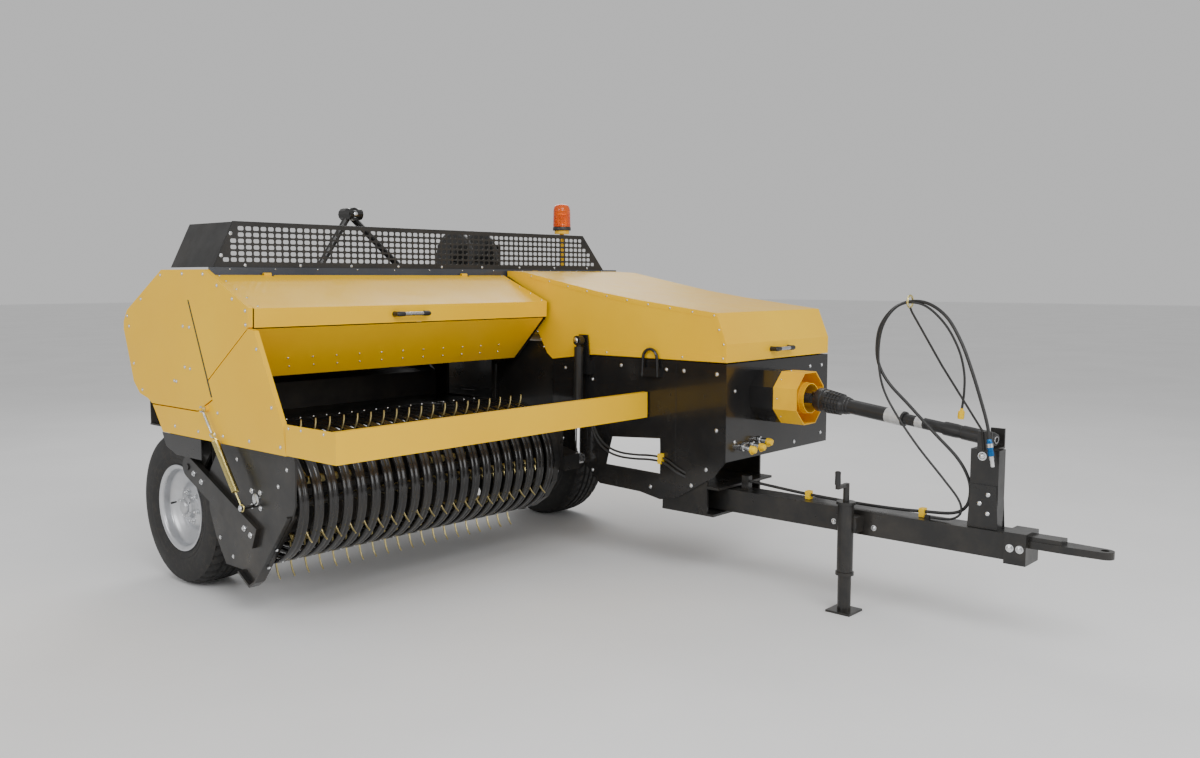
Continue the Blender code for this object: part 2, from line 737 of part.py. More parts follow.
def pickup_sides():
    pivot = (0.8, PIVOT_Y, PIVOT_Z)
    pin_hole = PIVOT_PIN_RADIUS + PIN_GAP
    inner = RIGHT_SIDE_X
    outer = inner - SIDE_PLATE
    arm_out = outer - 0.022
    ring, hole = bearing(inner, 1)
    shapes = [slab(side_outline(True), 0, outer, inner)]
    shapes.append(slab(arm_outline(ARM_WIDTH), 0, arm_out, inner - 0.001))
    shapes.append(skid_runner())
    shapes.append(ring)
    hook_pin_end = SPRING_X - 0.009
    shapes.append(rod((outer + 0.002, SPRING_LOW_Y, SPRING_LOW_Z), (hook_pin_end, SPRING_LOW_Y, SPRING_LOW_Z), 0.007, 16))
    bore = rod((arm_out - 0.02, PIVOT_Y, PIVOT_Z), (inner + 0.02, PIVOT_Y, PIVOT_Z), pin_hole, 24)
    piece("pickup_right_side", "chassis_black", shapes, [hole, bore], origin=pivot)

    inner = LEFT_SIDE_X
    outer = inner + SIDE_PLATE
    ring, hole = bearing(inner, -1)
    shapes = [slab(side_outline(False), 0, inner, outer)]
    shapes.append(slab(arm_outline(ARM_WIDTH), 0, inner + 0.001, outer))
    shield_low = LAST_BAND_X + BAND_WIDTH / 2 + 0.004
    shapes.append(slab(band_outline(), 0, shield_low, inner + 0.002))
    shapes.append(ring)
    lug = [(CYLINDER_LOW_Y - 0.035, 0.485), (CYLINDER_LOW_Y + 0.12, 0.485)]
    lug += [(CYLINDER_LOW_Y + 0.12, 0.60), (CYLINDER_LOW_Y - 0.035, CYLINDER_LOW_Z + 0.035)]
    lug_x = CYLINDER_X - 0.025
    shapes.append(slab(lug, 0, outer - 0.002, lug_x))
    eye_pin = ((lug_x - 0.005, CYLINDER_LOW_Y, CYLINDER_LOW_Z), (CYLINDER_X + 0.022, CYLINDER_LOW_Y, CYLINDER_LOW_Z))
    shapes.append(rod(*eye_pin, EYE_PIN_RADIUS, 16))
    bore = rod((inner - 0.02, PIVOT_Y, PIVOT_Z), (outer + 0.02, PIVOT_Y, PIVOT_Z), pin_hole, 24)
    piece("pickup_left_side", "chassis_black", shapes, [hole, bore], origin=pivot)


def tine(x, bar_angle):
    """One spring tine, its tip bent forward in the direction of turning."""
    points = []
    for radius, lead_deg in ((TINE_BAR_RADIUS, 0.0), (0.30, 0.0), (TINE_TIP_RADIUS, -5.5)):
        angle = math.radians(bar_angle + lead_deg)
        points.append((x, REEL_Y + radius * math.cos(angle), REEL_Z + radius * math.sin(angle)))
    return wire(points, TINE_RADIUS, 3)


def pickup_reel():
    """The tine reel: a shaft, its spiders and the tine bars, all turning together."""
    low_x = RIGHT_SIDE_X + 0.0025
    high_x = LEFT_SIDE_X - 0.0025
    last_tine_x = FIRST_TINE_X + TINE_PITCH * (TINES_PER_BAR - 1)
    shapes = [rod((low_x, REEL_Y, REEL_Z), (high_x, REEL_Y, REEL_Z), REEL_SHAFT_RADIUS, 24)]
    for spider_x in (FIRST_TINE_X - 0.03, (FIRST_TINE_X + last_tine_x) / 2, last_tine_x + 0.03):
        start = (spider_x - 0.004, REEL_Y, REEL_Z)
        end = (spider_x + 0.004, REEL_Y, REEL_Z)
        shapes.append(rod(start, end, TINE_BAR_RADIUS + 0.005, 32))
    for bar in range(TINE_BARS):
        angle = 360.0 / TINE_BARS * bar + 92.0
        y = REEL_Y + TINE_BAR_RADIUS * math.cos(math.radians(angle))
        z = REEL_Z + TINE_BAR_RADIUS * math.sin(math.radians(angle))
        shapes.append(rod((FIRST_TINE_X - 0.045, y, z), (last_tine_x + 0.045, y, z), TINE_BAR_THICKNESS, 10))
        for i in range(TINES_PER_BAR):
            shapes.append(tine(FIRST_TINE_X + TINE_PITCH * i, angle))
    piece("pickup_reel", "tine_steel", shapes, origin=(0.8, REEL_Y, REEL_Z))


# ------------------------------------------------------------ lift cylinder and float spring
def along_line(start, end, distance):
    """The point a distance from start towards end."""
    start = Vector(start)
    return start + (Vector(end) - start).normalized() * distance


def lift_cylinder():
    top = (CYLINDER_X, CYLINDER_TOP_Y, CYLINDER_TOP_Z)
    low = (CYLINDER_X, CYLINDER_LOW_Y, CYLINDER_LOW_Z)
    half_eye = 0.018
    barrel = [rod(along_line(top, low, 0.034), along_line(top, low, 0.385), BARREL_RADIUS, 20)]
    barrel.append(rod(along_line(top, low, 0.012), along_line(top, low, 0.040), 0.014, 12))
    barrel.append(rod((CYLINDER_X - half_eye, *top[1:]), (CYLINDER_X + half_eye, *top[1:]), EYE_RADIUS, 20))
    bore = rod(along_line(top, low, 0.045), along_line(top, low, 0.42), ROD_RADIUS + PIN_GAP, 20)
    pin_hole = rod((CYLINDER_X - 0.05, *top[1:]), (CYLINDER_X + 0.05, *top[1:]), EYE_PIN_RADIUS + PIN_GAP, 20)
    piece("lift_cylinder", "black", barrel, [bore, pin_hole], origin=top)

    rod_shapes = [rod(along_line(low, top, 0.022), along_line(low, top, 0.450), ROD_RADIUS, 20)]
    rod_shapes.append(rod((CYLINDER_X - half_eye, *low[1:]), (CYLINDER_X + half_eye, *low[1:]), ROD_EYE_RADIUS, 24))
    pin_hole = rod((CYLINDER_X - 0.05, *low[1:]), (CYLINDER_X + 0.05, *low[1:]), EYE_PIN_RADIUS + ROD_EYE_ROOM, 24)
    piece("lift_rod", "steel", rod_shapes, [pin_hole], origin=low)


def float_spring():
    """The spring that carries part of the pickup's weight, and its sliding hook."""
    top = (SPRING_X, SPRING_TOP_Y, SPRING_TOP_Z)
    low = (SPRING_X, SPRING_LOW_Y, SPRING_LOW_Z)
    length = (Vector(low) - Vector(top)).length
    coil_start = 0.165
    coil_end = length - 0.080
    coil = [rod(along_line(top, low, coil_start), along_line(top, low, coil_end), SPRING_RADIUS, 16)]
    coil.append(rod(along_line(top, low, 0.010), along_line(top, low, coil_start + 0.01), 0.006, 10))
    coil.append(rod((SPRING_X - 0.008, *top[1:]), (SPRING_X + 0.008, *top[1:]), 0.016, 16))
    bore = rod(along_line(top, low, coil_start + 0.02), along_line(top, low, coil_end + 0.02), 0.008, 12)
    pin_hole = rod((SPRING_X - 0.03, *top[1:]), (SPRING_X + 0.03, *top[1:]), 0.007 + PIN_GAP, 16)
    piece("float_spring", "zinc_gold", coil, [bore, pin_hole], origin=top)

    hook = [rod(along_line(low, top, 0.013), along_line(low, top, 0.200), 0.005, 10)]
    hook.append(rod((SPRING_X - 0.005, *low[1:]), (SPRING_X + 0.005, *low[1:]), 0.019, 16))
    pin_hole = rod((SPRING_X - 0.03, *low[1:]), (SPRING_X + 0.03, *low[1:]), 0.007 + HOOK_ROOM, 16)
    piece("spring_hook", "zinc_gold", hook, [pin_hole], origin=low)


# ------------------------------------------------------------ feeder housing
def end_cover_outline():
    """The upper right end panel, anticlockwise in Y and Z."""
    low = 0.893 + SEAM
    return [
        (1.079, low),
        (1.527, low),
        (1.567, 0.917),
        (1.650, 0.936),
        (1.710, 0.991),
        (1.770, 1.167),
        (1.797, 1.245),
        (1.795, 1.285),
        (1.754, 1.341),
        (1.382, 1.537),
        (0.978, 1.537),
        (0.617, 1.374),
        (0.622, 1.287 + SEAM),
        (0.987 + SEAM, 1.033 + SEAM),
        (0.944 + SEAM, 0.955 + SEAM),
    ]


def front_panel_outline():
    """The lower right end panel, anticlockwise in Y and Z."""
    return [
        (0.356, 0.766),
        (1.425, 0.766),
        (1.499, 0.864),
        (1.520, 0.893 - SEAM),
        (1.079, 0.893 - SEAM),
        (0.944 - SEAM, 0.955 - SEAM),
        (0.987 - SEAM, 1.033),
        (0.622, 1.287 - SEAM),
        (0.575, 1.276),
        (0.372, 0.883),
    ]


def end_panels():
    spring_pin = rod((0.002, SPRING_TOP_Y, SPRING_TOP_Z), (SPRING_X - 0.012, SPRING_TOP_Y, SPRING_TOP_Z), 0.007, 16)
    boss = rod((0.002, SPRING_TOP_Y, SPRING_TOP_Z), (SPRING_X + 0.010, SPRING_TOP_Y, SPRING_TOP_Z), 0.014, 16)
    cover = [tray(end_cover_outline(), END_SHEET, END_FLANGE)]
    piece("right_end_cover", "yellow", cover)
    front = [tray(front_panel_outline(), END_SHEET, END_FLANGE)]
    return front, [boss, spring_pin]


def cover_path():
    """The deck and rear wall of the feeder, from the front of the deck down to the floor."""
    return [
        (0.985, DECK_Z),
        (1.376, DECK_Z),
        (1.742, 1.333),
        (1.782, 1.280),
        (1.784, 1.248),
        (1.757, 1.170),
        (1.698, 1.000),
        (1.642, 0.948),
        (FLOOR_REAR_Y - 0.006, 0.932),
        (FLOOR_REAR_Y - 0.006, FLOOR_TOP + TOUCH),
    ]


def hanger(face_x, inwards):
    """A plate under the feeder floor that carries one end of the pickup's pivot."""
    outline = [(PIVOT_Y - 0.15, FLOOR_TOP - 0.004), (PIVOT_Y - 0.15, 0.70), (PIVOT_Y - 0.045, PIVOT_Z - 0.045)]
    outline += [(PIVOT_Y + 0.045, PIVOT_Z - 0.045), (PIVOT_Y + 0.13, 0.70), (PIVOT_Y + 0.13, FLOOR_TOP - 0.004)]
    far_x = face_x + inwards * HANGER_PLATE
    plate = slab(outline, 0, min(face_x, far_x), max(face_x, far_x))
    pin_end = face_x - inwards * (RUN_GAP + SIDE_PLATE + 0.028)
    pin = rod((face_x + inwards * 0.004, PIVOT_Y, PIVOT_Z), (pin_end, PIVOT_Y, PIVOT_Z), PIVOT_PIN_RADIUS, 24)
    return [plate, pin]


def feeder_housing():
    """The floor, rear cover and inner wall that the crop crosses on its way to the chamber."""
    inner_x = END_FLANGE + TOUCH
    outer_x = WALL_X - 0.008
    floor = [block((END_FLANGE + TOUCH, FLOOR_FRONT_Y, FLOOR_TOP - FLOOR_SHEET), (SIDE_X - TOUCH, FLOOR_REAR_Y, FLOOR_TOP))]
    floor += hanger(HANGER_X - HANGER_PLATE, 1)
    left_face = LEFT_SIDE_X + SIDE_PLATE + RUN_GAP
    floor += hanger(left_face, 1)
    piece("feeder_floor", "black", floor)

    path = cover_path()
    path.reverse()

    wall = [
        (1.055, FLOOR_TOP + TOUCH),
        (FLOOR_REAR_Y - 0.008, FLOOR_TOP + TOUCH),
        (FLOOR_REAR_Y - 0.008, 0.940),
        (1.690, 1.010),
        (1.730, 1.325),
        (1.370, 1.517),
        (0.990, 1.517),
        (0.990, STRIP_BOTTOM_Z - TOUCH),
        (0.940, STRIP_BOTTOM_Z - TOUCH),
        (0.640, 1.362),
        (0.640, 1.285),
        (0.868, 1.055),
        (1.055, 1.000),
    ]
    window = block((outer_x - 0.02, FEED_FRONT_Y + 0.02, FLOOR_TOP + 0.012), (WALL_X + 0.02, FEED_REAR_Y - 0.02, 1.12))
    cover = bent_sheet(path, COVER_SHEET, inner_x, outer_x + 0.002)
    piece("feeder_cover", "black", [cover, slab(wall, 0, outer_x, WALL_X)], [window])

    panel = [(0.628, 1.279), (0.858, 1.050)]
    piece("hood_lower_panel", "yellow", [bent_sheet(panel, HOOD_SHEET, inner_x, LOWER_PANEL_WIDTH)])


def pickup_hood():
    """The lid over the pickup, hinged along its rear edge."""
    path = [(0.958, 1.512), (0.616, 1.370), (0.620, 1.287)]
    shapes = [bent_sheet(path, HOOD_SHEET, END_FLANGE + RUN_GAP, HOOD_WIDTH)]
    holes = []
    for x in PICKUP_HOOD_HINGES:
        sleeve, hole, _ = knuckle((x, HINGE_Y, PICKUP_HINGE_Z), 0, 0.009)
        shapes.append(sleeve)
        holes += [hole, hinge_notch(x, PICKUP_HINGE_Z)]
    piece("pickup_hood", "yellow", shapes, holes, origin=(0.9, HINGE_Y, PICKUP_HINGE_Z))


def front_guard():
    """The bar across the front of the pickup, with its return along the right end."""
    sheet = 0.004
    low_z = 0.769
    high_z = 0.899
    left_x = SIDE_X - 0.010
    toe = -0.085
    rise = 0.020
    bar = bmesh.new()
    corners = []
    for x, y, lift in ((0.0, 0.0, 0.0), (left_x, toe, rise)):
        for depth in (0.0, 0.030):
            for z in (low_z, high_z):
                corners.append(bar.verts.new((x, y + depth, z + lift)))
    faces = ((0, 1, 3, 2), (4, 6, 7, 5), (0, 4, 5, 1), (2, 3, 7, 6), (1, 5, 7, 3), (0, 2, 6, 4))
    for face in faces:
        bar.faces.new([corners[i] for i in face])
    bmesh.ops.recalc_face_normals(bar, faces=bar.faces)
    side = block((0.0, 0.010, low_z), (sheet, 0.3557, high_z))
    foot = block((left_x - 0.03, toe + 0.01, low_z + 0.04), (SIDE_X - TOUCH, toe + 0.05, high_z))
    piece("front_guard_bar", "yellow", [bar, side, foot])


# ------------------------------------------------------------ bale chamber and frame
def bale_chamber():
    """The chamber, its rails below and the side plates that carry the drive in front."""
    right = CHAMBER_RIGHT_X
    left = CHAMBER_LEFT_X
    low = CHAMBER_BOTTOM_Z
    high = CHAMBER_TOP_Z
    sheet = CHAMBER_SHEET
    shapes = [block((right, CHAMBER_FRONT_Y, low), (left, CHAMBER_REAR_Y, high))]
    for x in (right, left - sheet):
        shapes.append(block((x, FRAME_FRONT_Y, low - RAIL_DEPTH + 0.002), (x + sheet, CHAMBER_FRONT_Y + 0.05, high - 0.003)))
    for x in (right, left - RAIL_WIDTH):
        shapes.append(block((x, FRAME_FRONT_Y, low - RAIL_DEPTH), (x + RAIL_WIDTH, 1.62, low + 0.003)))
    cutters = [block((right + sheet, CHAMBER_FRONT_Y - 0.1, low + sheet), (left - sheet, CHAMBER_REAR_Y + 0.1, high - sheet))]
    cutters.append(block((right - 0.02, FEED_FRONT_Y, FLOOR_TOP + 0.002), (right + 0.03, FEED_REAR_Y, 1.12)))
    for z in (low + 0.06, low + 0.20):
        cutters.append(block((right - 0.02, 1.98, z), (left + 0.02, 2.26, z + 0.10)))
        cutters.append(block((right - 0.02, 2.42, z), (left + 0.02, 2.64, z + 0.10)))
    for x in (CHAMBER_MID_X - 0.115, CHAMBER_MID_X + 0.085):
        cutters.append(block((x, 1.64, low - 0.1), (x + 0.03, 1.80, high + 0.1)))
        cutters.append(block((x, 1.98, high - 0.03), (x + 0.03, 2.26, high + 0.03)))
    piece("bale_chamber", "black", shapes + chute_ears(), cutters)


def hitch_frame():
    """The pair of plates, with the pin, that the drawbar swings between."""
    right = CHAMBER_RIGHT_X
    left = CHAMBER_LEFT_X
    gap = 0.007
    front = -0.52
    rear = DRAWBAR_PIVOT_Y + DRAWBAR_WIDTH / 2 + 0.02
    low = DRAWBAR_BOTTOM_Z - gap
    high = DRAWBAR_TOP_Z + gap
    top = CHAMBER_BOTTOM_Z - RAIL_DEPTH - TOUCH
    plate = HITCH_PLATE
    shapes = [block((right, front, high), (left, rear, high + plate))]
    shapes.append(block((right, front + 0.03, low - plate), (left, rear, low)))
    shapes.append(block((right + 0.001, rear - plate, low - 0.002), (left - 0.001, rear - 0.001, high + 0.002)))
    shapes.append(block((right, front + 0.07, low - plate + 0.001), (right + plate, rear - 0.001, top)))
    shapes.append(block((left - plate, front + 0.07, low - plate + 0.001), (left, rear - 0.001, top)))
    pin_low = (DRAWBAR_X, DRAWBAR_PIVOT_Y, low - plate - 0.02)
    pin_high = (DRAWBAR_X, DRAWBAR_PIVOT_Y, high + plate + 0.025)
    shapes.append(rod(pin_low, pin_high, DRAWBAR_PIN_RADIUS, 24))
    piece("hitch_frame", "chassis_black", shapes)


def gearbox():
    """Gearbox, flywheel and input shaft as one heavy block at their real place."""
    wheel_rear = FRAME_FRONT_Y - 0.012
    wheel_front = wheel_rear - FLYWHEEL_THICKNESS
    case_low = (CHAMBER_RIGHT_X + CHAMBER_SHEET + TOUCH, FRAME_FRONT_Y + 0.03, PTO_Z - 0.14 + TOUCH)
    case_high = (CHAMBER_LEFT_X - CHAMBER_SHEET - TOUCH, -0.08, PTO_Z + 0.14)
    shapes = [block(case_low, case_high)]
    axis_rear = (PTO_X, FRAME_FRONT_Y + 0.05, PTO_Z)
    shapes.append(rod(axis_rear, (PTO_X, JOINT_Y + 0.030, PTO_Z), 0.025, 20))
    shapes.append(rod((PTO_X, wheel_rear, PTO_Z), (PTO_X, wheel_front, PTO_Z), FLYWHEEL_RADIUS, 40))
    fork_low = (PTO_X - 0.014, JOINT_Y - 0.016, PTO_Z - 0.012)
    shapes.append(block(fork_low, (PTO_X + 0.014, JOINT_Y + 0.035, PTO_Z + 0.012)))
    pin = (PTO_X, JOINT_Y, PTO_Z)
    shapes.append(rod((pin[0], pin[1], pin[2] - 0.034), (pin[0], pin[1], pin[2] + 0.034), JOINT_PIN_RADIUS, 16))
    piece("gearbox", "cast_iron", shapes)


def octagon(radius):
    return arc((PTO_X, PTO_Z), radius, 22.5, 337.5, 7)


def drive_housing():
    """The sheet-metal box in front of the chamber, with the duct for the drive shaft."""
    right = SIDE_X
    left = HOUSING_LEFT_X
    front = HOUSING_FRONT_Y
    sheet = HOUSING_SHEET
    panel = [block((right + sheet + TOUCH, front, HOUSING_BOTTOM_Z), (left, front + sheet, HOUSING_TOP_Z))]
    panel.append(slab(octagon(GUARD_RADIUS), 1, front - DUCT_LENGTH, front + sheet / 2))
    duct = slab(octagon(GUARD_RADIUS - GUARD_SHEET), 1, front - DUCT_LENGTH - 0.02, front + 0.05)

    outline = [
        (front, HOUSING_TOP_Z),
        (front, HOUSING_BOTTOM_Z),
        (-0.50, 0.530),
        (-0.28, 0.400),
        (-0.163, 0.372),
        (-0.03, 0.395),
        (0.25, 0.403),
        (0.36, 0.50),
        (0.60, 0.50),
        (0.60, 1.034),
        (0.26, HOUSING_TOP_Z),
    ]
    opening = [(0.163, 0.666), (-0.161, 0.688), (-0.162, 0.503), (0.205, 0.511)]
    side = [slab(outline, 0, right, right + sheet)]
    pad_z = HOUSING_TOP_Z - 0.10
    bracket_x = WALL_X - 0.010
    side.append(block((bracket_x, CYLINDER_TOP_Y - 0.06, pad_z), (right + 0.001, CYLINDER_TOP_Y + 0.06, HOUSING_TOP_Z - 0.022)))
    ear = [(CYLINDER_TOP_Y - 0.05, pad_z + 0.01), (CYLINDER_TOP_Y + 0.05, pad_z + 0.01)]
    ear += [(CYLINDER_TOP_Y + 0.03, CYLINDER_TOP_Z + 0.03), (CYLINDER_TOP_Y - 0.03, CYLINDER_TOP_Z + 0.03)]
    side.append(slab(ear, 0, bracket_x, WALL_X))
    pin = ((WALL_X - 0.002, CYLINDER_TOP_Y, CYLINDER_TOP_Z), (CYLINDER_X - 0.024, CYLINDER_TOP_Y, CYLINDER_TOP_Z))
    side.append(rod(*pin, EYE_PIN_RADIUS, 16))
    side += lifting_eye()
    cut = slab(opening, 0, right - 0.02, right + 0.02)
    piece("housing_right", "black", side, [cut])

    rear = 0.80
    wall = [(front + sheet / 2, HOUSING_TOP_Z), (front + sheet / 2, HOUSING_BOTTOM_Z), (rear, HOUSING_BOTTOM_Z)]
    wall += [(rear, 1.034), (0.60, 1.034), (0.26, HOUSING_TOP_Z)]
    panel.append(slab(wall, 0, left - sheet, left))
    panel.append(block((CHAMBER_LEFT_X + TOUCH, rear - 0.008, HOUSING_BOTTOM_Z), (left - 0.001, rear - 0.001, 1.032)))
    piece("housing_front", "black", panel, [duct])


def lifting_eye():
    """A hooped eye on the right side, for a hoist's hook."""
    x = WALL_X - 0.009
    hoop = [(-0.155, 1.000)] + arc((-0.105, 1.095), 0.045, 180, 0, 8) + [(-0.055, 1.000)]
    loop = wire([(x, y, z) for y, z in hoop], 0.008, 8)
    pad = block((x - 0.004, -0.17, 1.0), (SIDE_X + 0.001, -0.04, 1.045))
    return [loop, pad]


def chamber_hood():
    """The yellow hood over the drive and chamber, hinged at its upper rear edge."""
    left = HOUSING_LEFT_X
    front = HOUSING_FRONT_Y
    low = HOUSING_TOP_Z + 0.007
    top = [
        (front, low),
        (front, 1.180),
        (-0.503, 1.330),
        (-0.025, 1.386),
        (0.248, 1.425),
        (0.540, 1.479),
        (0.812, 1.530),
        (0.955, 1.538),
    ]
    outside = top + [(0.955, 1.300), (0.720, 1.215), (0.640, 1.085), (0.600, 1.055), (0.300, low)]
    inside = offset_path(top, -HOOD_SHEET)
    inside[0] = (inside[0][0], low - 0.2)
    inside[-1] = (1.20, inside[-1][1])
    inside.append((1.20, low - 0.2))
    hollow = slab(inside, 0, SIDE_X + HOOD_SHEET, left - HOOD_SHEET)
    shapes = [hollowed(slab(outside, 0, SIDE_X, left), hollow)]
    holes = []
    for x in CHAMBER_HOOD_HINGES:
        sleeve, hole, _ = knuckle((x, HINGE_Y, CHAMBER_HINGE_Z), 0, 0.010)
        shapes.append(sleeve)
        holes += [hole, hinge_notch(x, CHAMBER_HINGE_Z)]
    piece("chamber_hood", "yellow", shapes, holes, origin=(2.3, HINGE_Y, CHAMBER_HINGE_Z))


def pto_guard():
    """The yellow octagonal shield and the bell inside it, round the drive shaft's joint."""
    rear = HOUSING_FRONT_Y - DUCT_LENGTH - TOUCH
    front = rear - GUARD_LENGTH
    plate = 0.006
    ring = slab(octagon(GUARD_RADIUS + 0.001), 1, front, rear)
    room = slab(octagon(GUARD_RADIUS - GUARD_SHEET), 1, front - 0.02, rear - plate)
    bell = rod((PTO_X, rear - plate / 2, PTO_Z), (PTO_X, front - 0.005, PTO_Z), BELL_RADIUS, 24)
    mouth = rod((PTO_X, rear + 0.02, PTO_Z), (PTO_X, front - 0.05, PTO_Z), BELL_RADIUS - 0.005, 24)
    piece("pto_guard", "yellow", [hollowed(ring, room), bell], [mouth])


# ------------------------------------------------------------ top and rear
def top_guard():
    """The strip across the machine and the perforated guard that stands on it."""
    strip_face = GUARD_Y - 0.006
    strip = [block((END_FLANGE + TOUCH, strip_face, STRIP_BOTTOM_Z), (STRIP_LEFT_X, GUARD_Y + 0.006, STRIP_TOP_Z))]
    hinges = [(x, PICKUP_HINGE_Z) for x in PICKUP_HOOD_HINGES]
    hinges += [(x, CHAMBER_HINGE_Z) for x in CHAMBER_HOOD_HINGES]
    for x, z in hinges:
        strip.append(knuckle((x, HINGE_Y, z), 0, 0.009)[2])
        strip.append(block((x + 0.0205, HINGE_Y - 0.007, z - 0.006), (x + 0.030, strip_face + 0.002, z + 0.006)))
    piece("guard_strip", "slate", strip)
    low = STRIP_TOP_Z + TOUCH
    outline = [(0.045, low), (2.671, low), (2.485, MESH_TOP_Z), (0.146, MESH_TOP_Z)]
    front = slab(outline, 1, GUARD_Y, GUARD_Y + MESH_SHEET)
    lean = [(0.045, low), (0.045 + MESH_SHEET, low), (0.149, MESH_TOP_Z), (0.146, MESH_TOP_Z)]
    side = slab(lean, 1, GUARD_Y + 0.001, 1.376)
    piece("mesh_guard", "black", [front, side])


def feeder_linkage():
    """The feeder's rocking arms above the deck, an upturned V on two feet."""
    y = 1.30
    foot_z = DECK_Z + TOUCH
    peak = (1.00, y, 1.835)
    shapes = [block((0.76, y - 0.05, foot_z), (0.86, y + 0.05, foot_z + 0.040))]
    shapes.append(block((1.28, y - 0.05, foot_z), (1.38, y + 0.05, foot_z + 0.040)))
    shapes.append(rod((0.81, y, foot_z + 0.030), peak, 0.018, 10))
    shapes.append(rod((1.33, y, foot_z + 0.030), peak, 0.018, 10))
    shapes.append(rod((0.97, y - 0.03, 1.835), (1.05, y - 0.03, 1.835), 0.030, 12))
    shapes.append(rod((1.0, y - 0.05, 1.835), (1.0, y + 0.05, 1.835), 0.034, 12))
    piece("feeder_linkage", "chassis_black", shapes)


def knotters():
    """Two knotter heads on their shaft, in the stand on top of the chamber."""
    base = CHAMBER_TOP_Z + TOUCH
    right = CHAMBER_RIGHT_X + 0.03
    left = CHAMBER_LEFT_X - 0.03
    shapes = []
    for x in (right, left - 0.012):
        shapes.append(block((x, 1.50, base), (x + 0.012, 1.62, 1.70)))
        shapes.append(block((x - 0.02, 1.49, base), (x + 0.032, 1.63, base + 0.012)))
    shapes.append(rod((right + 0.002, 1.56, 1.62), (left - 0.002, 1.56, 1.62), 0.024, 16))
    for x in (CHAMBER_MID_X - 0.10, CHAMBER_MID_X + 0.10):
        shapes.append(rod((x - 0.030, 1.56, 1.62), (x - 0.012, 1.56, 1.62), 0.165, 28))
        shapes.append(block((x - 0.014, 1.50, 1.44), (x + 0.045, 1.66, 1.66)))
    piece("knotters", "chassis_black", shapes)


def twine_box():
    """The box for the twine balls, with the mast of the warning beacon at its front."""
    right = CHAMBER_LEFT_X + TOUCH
    front = GUARD_Y + 0.006 + TOUCH
    sheet = 0.004
    shell = block((right, front, TWINE_BOTTOM_Z), (TWINE_LEFT_X, TWINE_REAR_Y, TWINE_TOP_Z))
    room = block((right + sheet, front + sheet, TWINE_BOTTOM_Z + sheet), (TWINE_LEFT_X - sheet, TWINE_REAR_Y - sheet, TWINE_TOP_Z + 0.1))
    mast = rod((2.35, front + 0.045, TWINE_TOP_Z - 0.02), (2.35, front + 0.045, 1.775), 0.014, 12)
    ledge = block((right, front, TWINE_TOP_Z - sheet), (TWINE_LEFT_X, front + 0.10, TWINE_TOP_Z))
    cup = rod((2.35, front + 0.045, 1.765), (2.35, front + 0.045, 1.785), 0.045, 20)
    shapes = [hollowed(shell, room), ledge, mast, cup]
    lid = []
    holes = []
    hinge_x = right + 0.010
    hinge_z = TWINE_TOP_Z + 0.009
    for y in TWINE_LID_HINGES:
        sleeve, hole, pin = knuckle((hinge_x, y, hinge_z), 1, 0.008)
        lid.append(sleeve)
        holes.append(hole)
        ear = block((right + 0.0015, y + 0.0205, TWINE_TOP_Z - 0.02), (right + 0.0145, y + 0.030, hinge_z + 0.006))
        shapes += [pin, ear]
    piece("twine_box", "yellow", shapes)

    lens_low = (2.35, front + 0.045, 1.785 + TOUCH)
    lens_mid = (2.35, front + 0.045, 1.905)
    lens_top = (2.35, front + 0.045, 1.945)
    lens = [rod(lens_low, lens_mid, 0.055, 24), tapered_rod(lens_mid, lens_top, 0.055, 0.038, 24)]
    piece("beacon", "amber", lens)

    lid_low = (right + 0.016, front + 0.107, TWINE_TOP_Z + 0.001)
    lid_high = (TWINE_LEFT_X + 0.006, TWINE_REAR_Y + 0.006, TWINE_TOP_Z + 0.005)
    lid.append(block(lid_low, lid_high))
    piece("twine_box_lid", "yellow", lid, holes, origin=(hinge_x, 1.35, hinge_z))


def tension_bars():
    """The clamp bars across the chamber's end, with the two screws that squeeze the bale."""
    y = 2.34
    reach = 0.055
    top = [block((CHAMBER_RIGHT_X - reach, y - 0.03, CHAMBER_TOP_Z + TOUCH), (CHAMBER_LEFT_X + reach, y + 0.03, CHAMBER_TOP_Z + 0.05))]
    for x in (CHAMBER_RIGHT_X - 0.03, CHAMBER_LEFT_X + 0.03):
        top.append(rod((x, y, CHAMBER_BOTTOM_Z - 0.09), (x, y, CHAMBER_TOP_Z + 0.26), 0.012, 12))
        top.append(rod((x, y, CHAMBER_TOP_Z + 0.055), (x, y, CHAMBER_TOP_Z + 0.20), 0.022, 12))
        outward = -1 if x < CHAMBER_MID_X else 1
        grip_x = x + outward * 0.10
        top.append(block((min(x, grip_x), y - 0.008, CHAMBER_TOP_Z + 0.25), (max(x, grip_x), y + 0.008, CHAMBER_TOP_Z + 0.266)))
        top.append(rod((grip_x, y, CHAMBER_TOP_Z + 0.252), (grip_x, y, CHAMBER_TOP_Z + 0.34), 0.009, 10))
    top.append(block((CHAMBER_RIGHT_X - reach, y - 0.03, CHAMBER_BOTTOM_Z - 0.10), (CHAMBER_LEFT_X + reach, y + 0.03, CHAMBER_BOTTOM_Z - 0.05)))
    top.append(block((CHAMBER_RIGHT_X + 0.05, y - 0.03, CHAMBER_BOTTOM_Z - 0.06), (CHAMBER_LEFT_X - 0.05, y + 0.03, CHAMBER_BOTTOM_Z - TOUCH)))
    piece("tension_frame", "chassis_black", top)


